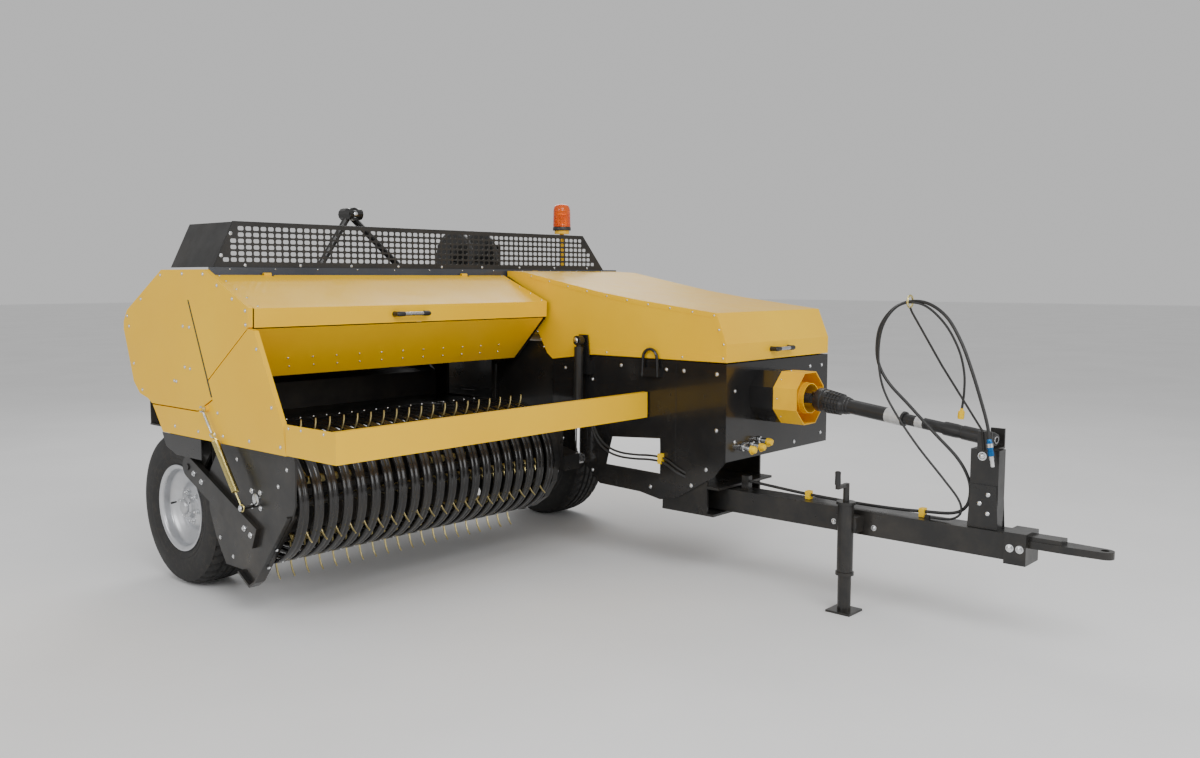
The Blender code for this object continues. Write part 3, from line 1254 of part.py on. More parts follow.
def needle_yoke():
    """The needle frame below the chamber, parked with its needles down."""
    pivot_y = 1.16
    pivot_z = CHAMBER_BOTTOM_Z - RAIL_DEPTH - 0.03
    low_z = 0.27
    yoke_y = 1.10
    shapes = []
    for x in (CHAMBER_RIGHT_X + 0.045, CHAMBER_LEFT_X - 0.045 - 0.012):
        outline = [(pivot_y - 0.03, pivot_z + 0.110), (yoke_y - 0.03, low_z), (yoke_y + 0.03, low_z), (pivot_y + 0.03, pivot_z + 0.110)]
        shapes.append(slab(outline, 0, x, x + 0.012))
    shapes.append(rod((CHAMBER_RIGHT_X + 0.047, yoke_y, low_z + 0.03), (CHAMBER_LEFT_X - 0.047, yoke_y, low_z + 0.03), 0.022, 12))
    for x in (CHAMBER_MID_X - 0.10, CHAMBER_MID_X + 0.10):
        path = arc((yoke_y, low_z + 0.30), 0.27, -90, -10, 6)
        shapes.append(wire([(x, y, z) for y, z in path], 0.010, 6))
    cut = block((1.7, 0.9, CHAMBER_BOTTOM_Z - TOUCH), (2.5, 1.4, 1.0))
    piece("needle_yoke", "chassis_black", shapes, [cut])


def bale_chute():
    """The rear chute, hinged under the chamber's end so that it folds up for the road."""
    right = CHAMBER_RIGHT_X - CHUTE_OVERLAP
    left = CHAMBER_LEFT_X + CHUTE_OVERLAP
    y = CHUTE_HINGE_Y
    z = CHUTE_HINGE_Z
    floor_z = z + 0.012
    shapes = [block((right, y + 0.022, floor_z), (left, CHUTE_END_Y, floor_z + 0.005))]
    for x in (right, left - CHUTE_SHEET):
        side = [(y - 0.012, z - 0.012), (y + 0.02, z - 0.014), (CHUTE_END_Y, floor_z), (CHUTE_END_Y, floor_z + 0.05)]
        side += [(y + 0.05, floor_z + 0.11), (y - 0.012, z + 0.02)]
        shapes.append(slab(side, 0, x, x + CHUTE_SHEET))
    pin_hole = rod((right - 0.05, y, z), (left + 0.05, y, z), CHUTE_PIN + PIN_GAP, 16)
    piece("bale_chute", "yellow", shapes, [pin_hole], origin=(CHAMBER_MID_X, y, z))


def chute_ears():
    """The ears under the chamber's end, with the chute's pin and the brace between them."""
    inset = CHUTE_SHEET + RUN_GAP - CHUTE_OVERLAP
    y = CHUTE_HINGE_Y
    z = CHUTE_HINGE_Z
    outline = [(CHAMBER_REAR_Y - 0.08, CHAMBER_BOTTOM_Z + 0.004), (CHAMBER_REAR_Y - 0.08, z - 0.03)]
    outline += [(y + 0.002, z - 0.011), (y + 0.009, z - 0.004), (y + 0.009, z + 0.006), (y - 0.010, z + 0.011)]
    outline += [(CHAMBER_REAR_Y - 0.004, CHAMBER_BOTTOM_Z + 0.004)]
    right_face = CHAMBER_RIGHT_X + inset
    left_face = CHAMBER_LEFT_X - inset
    ears = [slab(outline, 0, right_face, right_face + 0.010)]
    ears.append(slab(outline, 0, left_face - 0.010, left_face))
    ears.append(rod((CHAMBER_RIGHT_X - CHUTE_OVERLAP - 0.004, y, z), (CHAMBER_LEFT_X + CHUTE_OVERLAP + 0.004, y, z), CHUTE_PIN, 16))
    brace_low = (right_face + 0.002, CHAMBER_REAR_Y - 0.075, z - 0.028)
    ears.append(block(brace_low, (left_face - 0.002, CHAMBER_REAR_Y - 0.055, z - 0.008)))
    return ears


# ------------------------------------------------------------ drawbar, jack and drive shaft
def drawbar():
    pivot = (DRAWBAR_X, DRAWBAR_PIVOT_Y, (DRAWBAR_BOTTOM_Z + DRAWBAR_TOP_Z) / 2)
    half = DRAWBAR_WIDTH / 2
    low_z = DRAWBAR_BOTTOM_Z
    high_z = DRAWBAR_TOP_Z
    shapes = [block((DRAWBAR_X - half, DRAWBAR_FRONT_Y, low_z), (DRAWBAR_X + half, DRAWBAR_PIVOT_Y, high_z))]
    shapes.append(rod((DRAWBAR_X, DRAWBAR_PIVOT_Y, low_z), (DRAWBAR_X, DRAWBAR_PIVOT_Y, high_z), half, 32))
    sleeve = half + 0.012
    shapes.append(block((DRAWBAR_X - sleeve, -1.975, low_z - 0.012), (DRAWBAR_X + sleeve, -1.885, high_z + 0.010)))
    gland = block((HOSE_X - 0.016, -0.600, high_z - 0.002), (HOSE_X + 0.016, -0.560, 0.525))
    shapes.append(gland)
    socket_low = (CABLE_X - 0.009, -1.540, high_z - 0.002)
    shapes.append(block(socket_low, (CABLE_X + 0.007, -1.520, 0.4715)))
    clip_holes = []
    for clip_y in CLIP_PLACES:
        low = (HOSE_X - 0.014, clip_y - 0.010, high_z - 0.002)
        shapes.append(block(low, (HOSE_X + 0.014, clip_y + 0.010, 0.494)))
        hole = ((HOSE_X, clip_y - 0.03, clip_height(clip_y)), (HOSE_X, clip_y + 0.03, clip_height(clip_y)))
        clip_holes.append(rod(*hole, HOSE_RADIUS + 0.0035, 12))
    bore = rod((DRAWBAR_X, DRAWBAR_PIVOT_Y, low_z - 0.1), (DRAWBAR_X, DRAWBAR_PIVOT_Y, high_z + 0.1), DRAWBAR_PIN_RADIUS + PIN_GAP, 24)
    tongue_low = 0.405
    tongue_high = 0.435
    outline = [(DRAWBAR_X - 0.045, -1.970), (DRAWBAR_X - 0.045, -2.12)]
    outline += arc((DRAWBAR_X, TONGUE_TIP_Y + 0.035), 0.035, 180, 360, 10)
    outline += [(DRAWBAR_X + 0.045, -2.12), (DRAWBAR_X + 0.045, -1.970)]
    eye = rod((DRAWBAR_X, TONGUE_TIP_Y + 0.035, 0.3), (DRAWBAR_X, TONGUE_TIP_Y + 0.035, 0.5), 0.016, 20)
    upper = block((DRAWBAR_X - 0.040, -2.10, tongue_high - 0.001), (DRAWBAR_X + 0.040, -1.971, tongue_high + 0.018))
    shapes += [slab(outline, 2, tongue_low, tongue_high), upper]
    piece("drawbar", "chassis_black", shapes, [bore, eye] + clip_holes, origin=pivot)


HOSE_X = DRAWBAR_X
CABLE_X = HOSE_X - 0.016
CLIP_PLACES = (-0.931, -1.500)


def clip_height(y):
    return 0.478 if y > -1.2 else 0.4805


def jack():
    pivot = (JACK_X, JACK_Y, 0.3)
    outer = [rod((JACK_X, JACK_Y, JACK_TUBE_BOTTOM_Z), (JACK_X, JACK_Y, JACK_TUBE_TOP_Z), JACK_TUBE_RADIUS, 20)]
    outer.append(block((JACK_X, JACK_Y - 0.05, 0.365), (DRAWBAR_X - DRAWBAR_WIDTH / 2 - TOUCH, JACK_Y + 0.05, 0.435)))
    outer.append(rod((JACK_X, JACK_Y, JACK_TUBE_TOP_Z - 0.01), (JACK_X, JACK_Y, 0.585), 0.014, 12))
    outer.append(block((JACK_X - 0.085, JACK_Y - 0.008, 0.570), (JACK_X + 0.012, JACK_Y + 0.008, 0.586)))
    outer.append(rod((JACK_X - 0.078, JACK_Y, 0.572), (JACK_X - 0.078, JACK_Y, 0.640), 0.010, 12))
    bore = rod((JACK_X, JACK_Y, 0.10), (JACK_X, JACK_Y, JACK_TUBE_TOP_Z - 0.006), JACK_LEG_RADIUS + PIN_GAP, 20)
    piece("jack_tube", "chassis_black", outer, [bore], origin=pivot)

    leg = [rod((JACK_X, JACK_Y, 0.008), (JACK_X, JACK_Y, 0.335), JACK_LEG_RADIUS, 20)]
    half = JACK_FOOT / 2
    leg.append(block((JACK_X - half, JACK_Y - half, 0.0), (JACK_X + half, JACK_Y + half, 0.010)))
    piece("jack_leg", "chassis_black", leg, origin=pivot)


def shaft_post():
    """The post that carries the parked drive shaft and the hose holder."""
    half = 0.035
    y_low = POST_Y - 0.06
    y_high = POST_Y + 0.06
    base_z = DRAWBAR_TOP_Z + TOUCH
    cradle = 0.075
    shapes = [block((DRAWBAR_X - half, y_low, base_z), (DRAWBAR_X + half, y_high, POST_TOP_Z - 0.002))]
    shapes.append(block((SHAFT_END_X - cradle, POST_Y - 0.03, POST_TOP_Z - 0.010), (SHAFT_END_X + cradle, POST_Y + 0.03, POST_TOP_Z - 0.001)))
    for x in (SHAFT_END_X - cradle, SHAFT_END_X + cradle - 0.010):
        shapes.append(block((x, POST_Y - 0.03, POST_TOP_Z - 0.009), (x + 0.010, POST_Y + 0.03, POST_TOP_Z + 0.075)))
    holder_x = SHAFT_END_X - cradle - 0.004
    ring_z = 1.397
    ring_y = -1.418
    stem = [(holder_x, POST_Y, POST_TOP_Z - 0.005), (holder_x, POST_Y + 0.01, POST_TOP_Z + 0.08)]
    stem += [(holder_x + 0.02, -1.58, 1.127), (HOSE_X - 0.008, ring_y - 0.012, ring_z - 0.050)]
    stem += [(HOSE_X - 0.008, ring_y, ring_z - 0.026)]
    shapes.append(wire(stem, 0.005, 8))
    shapes.append(hose_ring(ring_y, ring_z))
    piece("shaft_post", "chassis_black", shapes)


def hose_ring(y, z):
    """The ring that both hoses pass through at the top of their loops."""
    centre_x = HOSE_X - 0.008
    shape = bmesh.new()
    rings = []
    for i in range(16):
        angle = 2 * math.pi * i / 16
        ring = []
        for k in range(6):
            turn = 2 * math.pi * k / 6
            radius = 0.026 + 0.004 * math.cos(turn)
            ring.append(shape.verts.new((centre_x + radius * math.cos(angle), y + 0.004 * math.sin(turn), z + radius * math.sin(angle))))
        rings.append(ring)
    for i in range(16):
        first = rings[i]
        second = rings[(i + 1) % 16]
        for k in range(6):
            j = (k + 1) % 6
            shape.faces.new([first[k], first[j], second[j], second[k]])
    bmesh.ops.recalc_face_normals(shape, faces=shape.faces)
    return shape


def hoses():
    """The hydraulic hose and the lighting cable, which loop up from the drawbar to the tractor."""
    route = [
        (-0.6015, 0.499),
        (-0.700, 0.492),
        (-0.931, 0.478),
        (-1.200, 0.472),
        (-1.380, 0.474),
        (-1.500, 0.4805),
        (-1.630, 0.492),
        (-1.689, 0.524),
        (-1.709, 0.585),
        (-1.698, 0.655),
        (-1.647, 0.735),
        (-1.541, 0.832),
        (-1.422, 0.943),
        (-1.325, 1.033),
        (-1.274, 1.115),
        (-1.262, 1.200),
        (-1.279, 1.290),
        (-1.339, 1.366),
        (-1.418, 1.397),
    ]
    points = [(HOSE_X, y, z) for y, z in route]
    points += [
        (HOSE_X - 0.015, -1.508, 1.388),
        (HOSE_X - 0.034, -1.598, 1.333),
        (HOSE_X - 0.050, -1.670, 1.232),
        (HOSE_X - 0.060, -1.722, 1.119),
        (HOSE_X - 0.068, -1.768, 0.998),
        (HOSE_X - 0.072, -1.800, 0.900),
        (HOSE_X - 0.073, -1.810, 0.840),
    ]
    hose("hydraulic_hose", "rubber", points, HOSE_RADIUS, 0.041)
    end_x = HOSE_X - 0.073
    coupling = [rod((end_x, -1.8101, 0.8393), (end_x, -1.8215, 0.7705), 0.013, 12)]
    coupling.append(rod((end_x, -1.8212, 0.7720), (end_x, -1.8290, 0.7250), 0.010, 12))
    piece("hose_coupling", "blue", coupling)
    route = [
        (-1.5410, 0.4625),
        (-1.630, 0.468),
        (-1.676, 0.500),
        (-1.667, 0.556),
        (-1.595, 0.640),
        (-1.482, 0.760),
        (-1.385, 0.880),
        (-1.315, 0.990),
        (-1.285, 1.090),
        (-1.280, 1.201),
        (-1.300, 1.295),
        (-1.352, 1.366),
        (-1.418, 1.393),
        (-1.500, 1.375),
        (-1.585, 1.300),
        (-1.645, 1.200),
        (-1.672, 1.105),
        (-1.675, 1.020),
        (-1.668, 0.951),
    ]
    hose("light_cable", "rubber", [(CABLE_X, y, z) for y, z in route], CABLE_RADIUS, 0.030)


def pto_shaft():
    """The telescopic drive shaft, from its joint at the gearbox to the post's cradle."""
    start = (PTO_X, JOINT_Y, PTO_Z)
    end = (SHAFT_END_X, SHAFT_END_Y, POST_TOP_Z + 0.002 + TOUCH + 0.031)
    pin_hole = JOINT_PIN_RADIUS + JOINT_ROOM
    shapes = []
    for z_low in (PTO_Z - 0.034, PTO_Z + 0.018):
        fork = [(PTO_X + x_off, JOINT_Y + y_off) for x_off, y_off in YOKE_OUTLINE]
        shapes.append(slab(fork, 2, z_low, z_low + 0.016))
    shapes.append(rod(along_line(start, end, 0.062), along_line(start, end, 0.100), 0.040, 20))
    shapes.append(tapered_rod(along_line(start, end, 0.098), along_line(start, end, 0.160), 0.055, 0.040, 20))
    shapes.append(rod(along_line(start, end, 0.155), along_line(start, end, 0.500), SHAFT_RADIUS, 20))
    bore = rod((PTO_X, JOINT_Y, PTO_Z - 0.1), (PTO_X, JOINT_Y, PTO_Z + 0.1), pin_hole, 20)
    socket = rod(along_line(start, end, 0.330), along_line(start, end, 0.520), INNER_SHAFT_RADIUS + PIN_GAP, 20)
    piece("pto_shaft", "black", shapes, [bore, socket], origin=start)
    inner = [rod(along_line(start, end, 0.380), along_line(start, end, 0.790), INNER_SHAFT_RADIUS, 20)]
    inner.append(rod(along_line(start, end, 0.785), end, 0.031, 16))
    piece("pto_front_shaft", "steel", inner, origin=start)


def build():
    clear_scene()
    machine = bpy.data.objects.new("machine", None)
    bpy.context.scene.collection.objects.link(machine)
    machine.location = (-MIDDLE_X, -MIDDLE_Y, 0.0)
    wheel("right", TIRE_OUTER_X, RIGHT_WHEEL_Y, 1)
    wheel("left", LEFT_TYRE_X, LEFT_WHEEL_Y, -1)
    axle()
    stripper_bands()
    pickup_sides()
    pickup_reel()
    lift_cylinder()
    float_spring()
    front, spring_mount = end_panels()
    piece("right_front_panel", "yellow", front + spring_mount)
    feeder_housing()
    pickup_hood()
    front_guard()
    bale_chamber()
    hitch_frame()
    gearbox()
    drive_housing()
    chamber_hood()
    pto_guard()
    top_guard()
    feeder_linkage()
    knotters()
    twine_box()
    tension_bars()
    needle_yoke()
    bale_chute()
    drawbar()
    jack()
    shaft_post()
    hoses()
    pto_shaft()


build()
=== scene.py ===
import json
import math

import bmesh
import bpy
from mathutils import Matrix, Vector
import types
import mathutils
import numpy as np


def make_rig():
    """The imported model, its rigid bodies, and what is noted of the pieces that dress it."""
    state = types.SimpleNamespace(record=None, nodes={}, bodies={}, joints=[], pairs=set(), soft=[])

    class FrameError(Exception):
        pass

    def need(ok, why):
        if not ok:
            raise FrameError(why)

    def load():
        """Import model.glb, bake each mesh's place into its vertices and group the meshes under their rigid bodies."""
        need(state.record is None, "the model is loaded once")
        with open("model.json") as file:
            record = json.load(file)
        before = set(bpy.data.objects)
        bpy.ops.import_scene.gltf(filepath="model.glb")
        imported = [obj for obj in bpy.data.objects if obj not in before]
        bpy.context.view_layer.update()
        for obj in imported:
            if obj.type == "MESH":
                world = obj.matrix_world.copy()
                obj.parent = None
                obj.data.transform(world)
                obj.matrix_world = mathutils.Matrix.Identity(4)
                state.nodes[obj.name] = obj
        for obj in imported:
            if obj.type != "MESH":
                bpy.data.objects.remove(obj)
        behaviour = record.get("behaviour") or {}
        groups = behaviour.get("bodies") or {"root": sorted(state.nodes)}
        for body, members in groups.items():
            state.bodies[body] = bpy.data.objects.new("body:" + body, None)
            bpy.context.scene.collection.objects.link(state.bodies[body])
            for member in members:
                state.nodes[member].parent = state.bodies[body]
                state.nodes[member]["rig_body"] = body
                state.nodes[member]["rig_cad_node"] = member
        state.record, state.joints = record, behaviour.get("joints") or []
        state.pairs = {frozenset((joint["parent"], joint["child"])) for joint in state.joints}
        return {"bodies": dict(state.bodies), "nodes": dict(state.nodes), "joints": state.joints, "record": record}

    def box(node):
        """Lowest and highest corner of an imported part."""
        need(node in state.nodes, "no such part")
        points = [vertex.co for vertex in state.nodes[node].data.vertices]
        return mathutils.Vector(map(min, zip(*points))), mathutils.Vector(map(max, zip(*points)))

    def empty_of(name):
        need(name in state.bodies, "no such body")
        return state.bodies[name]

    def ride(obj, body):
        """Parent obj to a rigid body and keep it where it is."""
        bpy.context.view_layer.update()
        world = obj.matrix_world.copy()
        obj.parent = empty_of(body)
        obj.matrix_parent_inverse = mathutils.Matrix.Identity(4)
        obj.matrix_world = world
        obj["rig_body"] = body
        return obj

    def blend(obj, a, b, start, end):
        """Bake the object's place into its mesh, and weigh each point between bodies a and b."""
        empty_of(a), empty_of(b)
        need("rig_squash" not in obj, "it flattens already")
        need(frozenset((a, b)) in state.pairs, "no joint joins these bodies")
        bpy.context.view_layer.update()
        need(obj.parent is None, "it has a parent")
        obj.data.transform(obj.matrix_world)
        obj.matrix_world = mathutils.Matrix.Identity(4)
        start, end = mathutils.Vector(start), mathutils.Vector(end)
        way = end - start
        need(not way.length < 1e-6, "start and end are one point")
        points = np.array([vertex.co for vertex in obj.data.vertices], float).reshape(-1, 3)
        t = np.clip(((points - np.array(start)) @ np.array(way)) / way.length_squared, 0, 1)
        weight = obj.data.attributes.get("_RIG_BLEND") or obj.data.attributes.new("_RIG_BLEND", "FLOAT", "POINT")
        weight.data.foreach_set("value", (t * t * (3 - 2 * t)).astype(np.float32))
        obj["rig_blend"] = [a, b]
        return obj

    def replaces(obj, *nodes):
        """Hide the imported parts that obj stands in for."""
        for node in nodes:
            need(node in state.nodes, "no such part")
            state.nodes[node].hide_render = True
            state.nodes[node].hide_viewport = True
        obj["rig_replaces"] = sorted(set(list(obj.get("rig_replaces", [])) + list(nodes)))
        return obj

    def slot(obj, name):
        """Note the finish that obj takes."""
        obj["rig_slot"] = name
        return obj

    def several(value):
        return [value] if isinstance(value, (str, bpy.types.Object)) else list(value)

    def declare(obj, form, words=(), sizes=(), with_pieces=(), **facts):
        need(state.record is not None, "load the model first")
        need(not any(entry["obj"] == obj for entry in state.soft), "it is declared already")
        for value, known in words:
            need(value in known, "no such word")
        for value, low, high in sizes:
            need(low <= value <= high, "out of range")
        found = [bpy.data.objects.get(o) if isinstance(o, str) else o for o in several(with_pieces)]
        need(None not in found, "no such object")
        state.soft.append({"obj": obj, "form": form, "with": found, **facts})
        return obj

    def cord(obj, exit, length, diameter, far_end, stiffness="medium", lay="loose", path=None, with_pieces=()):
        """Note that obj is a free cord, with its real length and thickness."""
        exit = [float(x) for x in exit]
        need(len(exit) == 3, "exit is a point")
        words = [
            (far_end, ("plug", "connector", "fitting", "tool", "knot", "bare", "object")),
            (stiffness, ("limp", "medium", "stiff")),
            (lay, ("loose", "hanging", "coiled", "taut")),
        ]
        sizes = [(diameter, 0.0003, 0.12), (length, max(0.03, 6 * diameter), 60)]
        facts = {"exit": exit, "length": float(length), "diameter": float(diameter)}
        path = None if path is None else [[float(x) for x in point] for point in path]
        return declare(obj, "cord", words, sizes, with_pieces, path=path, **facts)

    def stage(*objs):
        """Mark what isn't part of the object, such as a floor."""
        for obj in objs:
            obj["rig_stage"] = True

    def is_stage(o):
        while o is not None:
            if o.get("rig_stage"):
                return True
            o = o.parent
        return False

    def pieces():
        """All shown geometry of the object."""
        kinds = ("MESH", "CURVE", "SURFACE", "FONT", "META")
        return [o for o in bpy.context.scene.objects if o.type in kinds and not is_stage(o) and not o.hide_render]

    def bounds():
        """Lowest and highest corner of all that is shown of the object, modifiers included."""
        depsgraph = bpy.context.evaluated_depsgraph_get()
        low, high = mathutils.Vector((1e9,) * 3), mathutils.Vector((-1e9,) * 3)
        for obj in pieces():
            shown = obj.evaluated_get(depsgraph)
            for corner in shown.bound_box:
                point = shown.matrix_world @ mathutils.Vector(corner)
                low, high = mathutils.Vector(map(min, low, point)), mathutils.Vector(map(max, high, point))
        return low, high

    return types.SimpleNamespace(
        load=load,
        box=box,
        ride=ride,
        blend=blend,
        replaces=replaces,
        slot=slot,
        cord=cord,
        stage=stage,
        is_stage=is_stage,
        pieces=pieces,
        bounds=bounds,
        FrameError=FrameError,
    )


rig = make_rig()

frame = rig.load()
cad_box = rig.bounds()

# The machine's own axes: X from the pickup's outer end, Y rearwards, Z up, all in metres.
OX, OY = 1.3745, 0.53


def P(x, y, z):
    return Vector((x - OX, y - OY, z))


# ------------------------------------------------------------ camera
cam_data = bpy.data.cameras.new("camera")
cam_data.sensor_width = 36.0
cam_data.lens = 31.86
cam = bpy.data.objects.new("camera", cam_data)
bpy.context.scene.collection.objects.link(cam)
azimuth, elevation = math.radians(-48.296), math.radians(5.451)
back = Vector(
    (
        math.sin(azimuth) * math.cos(elevation), -math.cos(azimuth) * math.cos(elevation),
        math.sin(elevation),
    )
)
side = Vector((0, 0, 1)).cross(back).normalized()
up = back.cross(side)
spin = Matrix((side, up, back)).transposed().to_4x4()
cam.matrix_world = Matrix.Translation(P(-2.37, -3.49, 1.50)) @ spin
bpy.context.scene.camera = cam


# ------------------------------------------------------------ materials
def new_material(name):
    mat = bpy.data.materials.new(name)
    mat.use_nodes = True
    tree = mat.node_tree
    return mat, tree.nodes, tree.links, tree.nodes["Principled BSDF"]


def noise(nodes, links, coords, scale, detail=4.0, rough=0.55):
    n = nodes.new("ShaderNodeTexNoise")
    n.inputs["Scale"].default_value = scale
    n.inputs["Detail"].default_value = detail
    n.inputs["Roughness"].default_value = rough
    links.new(coords, n.inputs["Vector"])
    return n.outputs["Fac"]


def ramp(nodes, links, value, stops):
    r = nodes.new("ShaderNodeValToRGB")
    while len(r.color_ramp.elements) < len(stops):
        r.color_ramp.elements.new(0.5)
    for element, (place, colour) in zip(r.color_ramp.elements, stops):
        element.position = place
        element.color = (*colour, 1.0) if len(colour) == 3 else colour
    links.new(value, r.inputs["Fac"])
    return r.outputs["Color"]


def grey(v):
    return (v, v, v)


def mix(nodes, links, factor, a, b, kind="MIX"):
    m = nodes.new("ShaderNodeMix")
    m.data_type = "RGBA"
    m.blend_type = kind
    if isinstance(factor, (int, float)):
        m.inputs[0].default_value = factor
    else:
        links.new(factor, m.inputs[0])
    for socket, value in ((m.inputs[6], a), (m.inputs[7], b)):
        if isinstance(value, tuple):
            socket.default_value = (*value, 1.0)
        else:
            links.new(value, socket)
    return m.outputs[2]


def bump(nodes, links, height, strength, distance, normal=None):
    b = nodes.new("ShaderNodeBump")
    b.inputs["Strength"].default_value = strength
    b.inputs["Distance"].default_value = distance
    links.new(height, b.inputs["Height"])
    if normal is not None:
        links.new(normal, b.inputs["Normal"])
    return b.outputs["Normal"]


def paint(
    name, light, dark, rough=(0.22, 0.36), metallic=0.0, coat=0.0, peel=0.00012, dust=0.0, cloud=1.6,
    fleck=0.0,
):
    """Sprayed paint: cloudy colour, orange peel, uneven gloss and a little dust low down."""
    mat, nodes, links, shader = new_material(name)
    coords = nodes.new("ShaderNodeTexCoord").outputs["Object"]
    clouds = noise(nodes, links, coords, cloud, 5.0)
    colour = ramp(nodes, links, clouds, [(0.32, dark), (0.68, light)])
    if fleck:
        spots = noise(nodes, links, coords, 90.0, 3.0, 0.7)
        mask = ramp(nodes, links, spots, [(0.62, grey(0.0)), (0.78, grey(fleck))])
        colour = mix(nodes, links, mask, colour, tuple(min(1.0, c * 1.5 + 0.05) for c in light))
    if dust:
        spread = noise(nodes, links, coords, 7.0, 6.0, 0.65)
        split = nodes.new("ShaderNodeSeparateXYZ")
        links.new(coords, split.inputs[0])
        low = nodes.new("ShaderNodeMapRange")
        low.inputs["From Min"].default_value = 1.1
        low.inputs["From Max"].default_value = 0.0
        low.inputs["To Min"].default_value = 0.15
        low.inputs["To Max"].default_value = 1.0
        links.new(split.outputs["Z"], low.inputs["Value"])
        amount = nodes.new("ShaderNodeMath")
        amount.operation = "MULTIPLY"
        links.new(ramp(nodes, links, spread, [(0.42, grey(0.0)), (0.75, grey(dust))]), amount.inputs[0])
        links.new(low.outputs["Result"], amount.inputs[1])
        colour = mix(nodes, links, amount.outputs[0], colour, (0.16, 0.13, 0.095))
    links.new(colour, shader.inputs["Base Color"])
    patches = noise(nodes, links, coords, 9.0, 6.0, 0.6)
    links.new(
        ramp(nodes, links, patches, [(0.3, grey(rough[0])), (0.7, grey(rough[1]))]),
        shader.inputs["Roughness"],
    )
    skin = noise(nodes, links, coords, 260.0, 2.0, 0.5)
    links.new(bump(nodes, links, skin, 0.35, peel), shader.inputs["Normal"])
    shader.inputs["Metallic"].default_value = metallic
    shader.inputs["Coat Weight"].default_value = coat
    shader.inputs["Specular IOR Level"].default_value = 0.38
    shader.inputs["Coat Roughness"].default_value = 0.08
    return mat


def rubber_material(name, base, worn, dusty, rough=(0.62, 0.85)):
    mat, nodes, links, shader = new_material(name)
    coords = nodes.new("ShaderNodeTexCoord").outputs["Object"]
    clouds = noise(nodes, links, coords, 6.0, 6.0, 0.6)
    colour = ramp(nodes, links, clouds, [(0.35, base), (0.7, worn)])
    specks = noise(nodes, links, coords, 40.0, 5.0, 0.7)
    colour = mix(
        nodes, links, ramp(nodes, links, specks, [(0.5, grey(0.0)), (0.8, grey(dusty))]), colour,
        (0.15, 0.12, 0.09),
    )
    links.new(colour, shader.inputs["Base Color"])
    links.new(
        ramp(nodes, links, clouds, [(0.3, grey(rough[0])), (0.7, grey(rough[1]))]),
        shader.inputs["Roughness"],
    )
    grain = noise(nodes, links, coords, 420.0, 3.0, 0.6)
    links.new(bump(nodes, links, grain, 0.5, 0.0003), shader.inputs["Normal"])
    return mat


def metal_material(name, light, dark, rough=(0.22, 0.42), scale=30.0, grain=0.0002):
    mat, nodes, links, shader = new_material(name)
    coords = nodes.new("ShaderNodeTexCoord").outputs["Object"]
    clouds = noise(nodes, links, coords, scale, 5.0, 0.65)
    links.new(ramp(nodes, links, clouds, [(0.3, dark), (0.7, light)]), shader.inputs["Base Color"])
    links.new(
        ramp(nodes, links, clouds, [(0.3, grey(rough[1])), (0.7, grey(rough[0]))]),
        shader.inputs["Roughness"],
    )
    links.new(
        bump(nodes, links, noise(nodes, links, coords, 300.0, 3.0), 0.3, grain), shader.inputs["Normal"],
    )
    shader.inputs["Metallic"].default_value = 1.0
    return mat


YELLOW = paint("yellow_paint", (0.95, 0.560, 0.0), (0.90, 0.505, 0.0), (0.30, 0.42), coat=0.06, dust=0.05)
SATIN_YELLOW = paint(
    "yellow_plastic", (0.90, 0.50, 0.0), (0.82, 0.42, 0.0), (0.36, 0.5), cloud=6.0, dust=0.08,
)
BLACK = paint(
    "gloss_black_paint", (0.016, 0.0155, 0.0155), (0.010, 0.010, 0.0105), (0.14, 0.30), coat=0.3,
    dust=0.12,
)
CHASSIS = paint(
    "chassis_black_paint", (0.018, 0.0175, 0.017), (0.011, 0.011, 0.011), (0.24, 0.42), coat=0.15,
    dust=0.22, cloud=3.0,
)
# Dull inner black paint for the feeder cover; the same colour is used for the dark sheet behind the reel and the dark
# strip on the end panel, which are painted shade.
INNER_BLACK_AND_SHADE = paint(
    "inner_black_paint_and_shade", (0.026, 0.024, 0.022), (0.012, 0.012, 0.012), (0.38, 0.6), dust=0.35, cloud=3.5,
)
SLATE = paint("slate_paint", (0.055, 0.062, 0.075), (0.035, 0.040, 0.052), (0.16, 0.3), coat=0.3)
MESH_BLACK = paint("guard_black_paint", (0.030, 0.028, 0.026), (0.016, 0.016, 0.016), (0.35, 0.55), cloud=5.0)
SILVER = paint(
    "silver_lacquer", (0.62, 0.63, 0.65), (0.50, 0.51, 0.53), (0.26, 0.42), metallic=0.75, coat=0.2,
    cloud=8.0, dust=0.16,
)
TYRE = rubber_material("tyre_rubber", (0.012, 0.012, 0.012), (0.024, 0.023, 0.022), 0.22)
RUBBER = rubber_material("hose_rubber", (0.012, 0.012, 0.012), (0.022, 0.022, 0.022), 0.06, (0.38, 0.55))
PLASTIC = rubber_material("black_plastic", (0.014, 0.014, 0.0145), (0.024, 0.024, 0.025), 0.04, (0.3, 0.45))
ZINC = metal_material("zinc_bolts", (0.82, 0.83, 0.84), (0.60, 0.61, 0.62), (0.18, 0.34), 60.0)
STEEL = metal_material("bare_steel", (0.60, 0.60, 0.61), (0.42, 0.42, 0.43), (0.2, 0.38))
CHROME = metal_material("chrome_rod", (0.88, 0.88, 0.9), (0.76, 0.76, 0.78), (0.05, 0.12), 12.0, 0.00003)
GOLD = metal_material("yellow_zinc", (0.80, 0.70, 0.30), (0.62, 0.52, 0.20), (0.22, 0.4), 50.0)
TINE = metal_material("tine_wire", (0.78, 0.66, 0.30), (0.60, 0.50, 0.24), (0.24, 0.42), 45.0)
CAST = paint(
    "cast_iron_paint", (0.05, 0.05, 0.05), (0.03, 0.03, 0.03), (0.4, 0.6), peel=0.0006, dust=0.2,
    cloud=7.0,
)
BLUE = paint("blue_anodised", (0.02, 0.16, 0.42), (0.01, 0.10, 0.30), (0.2, 0.32), metallic=0.6, cloud=20.0)
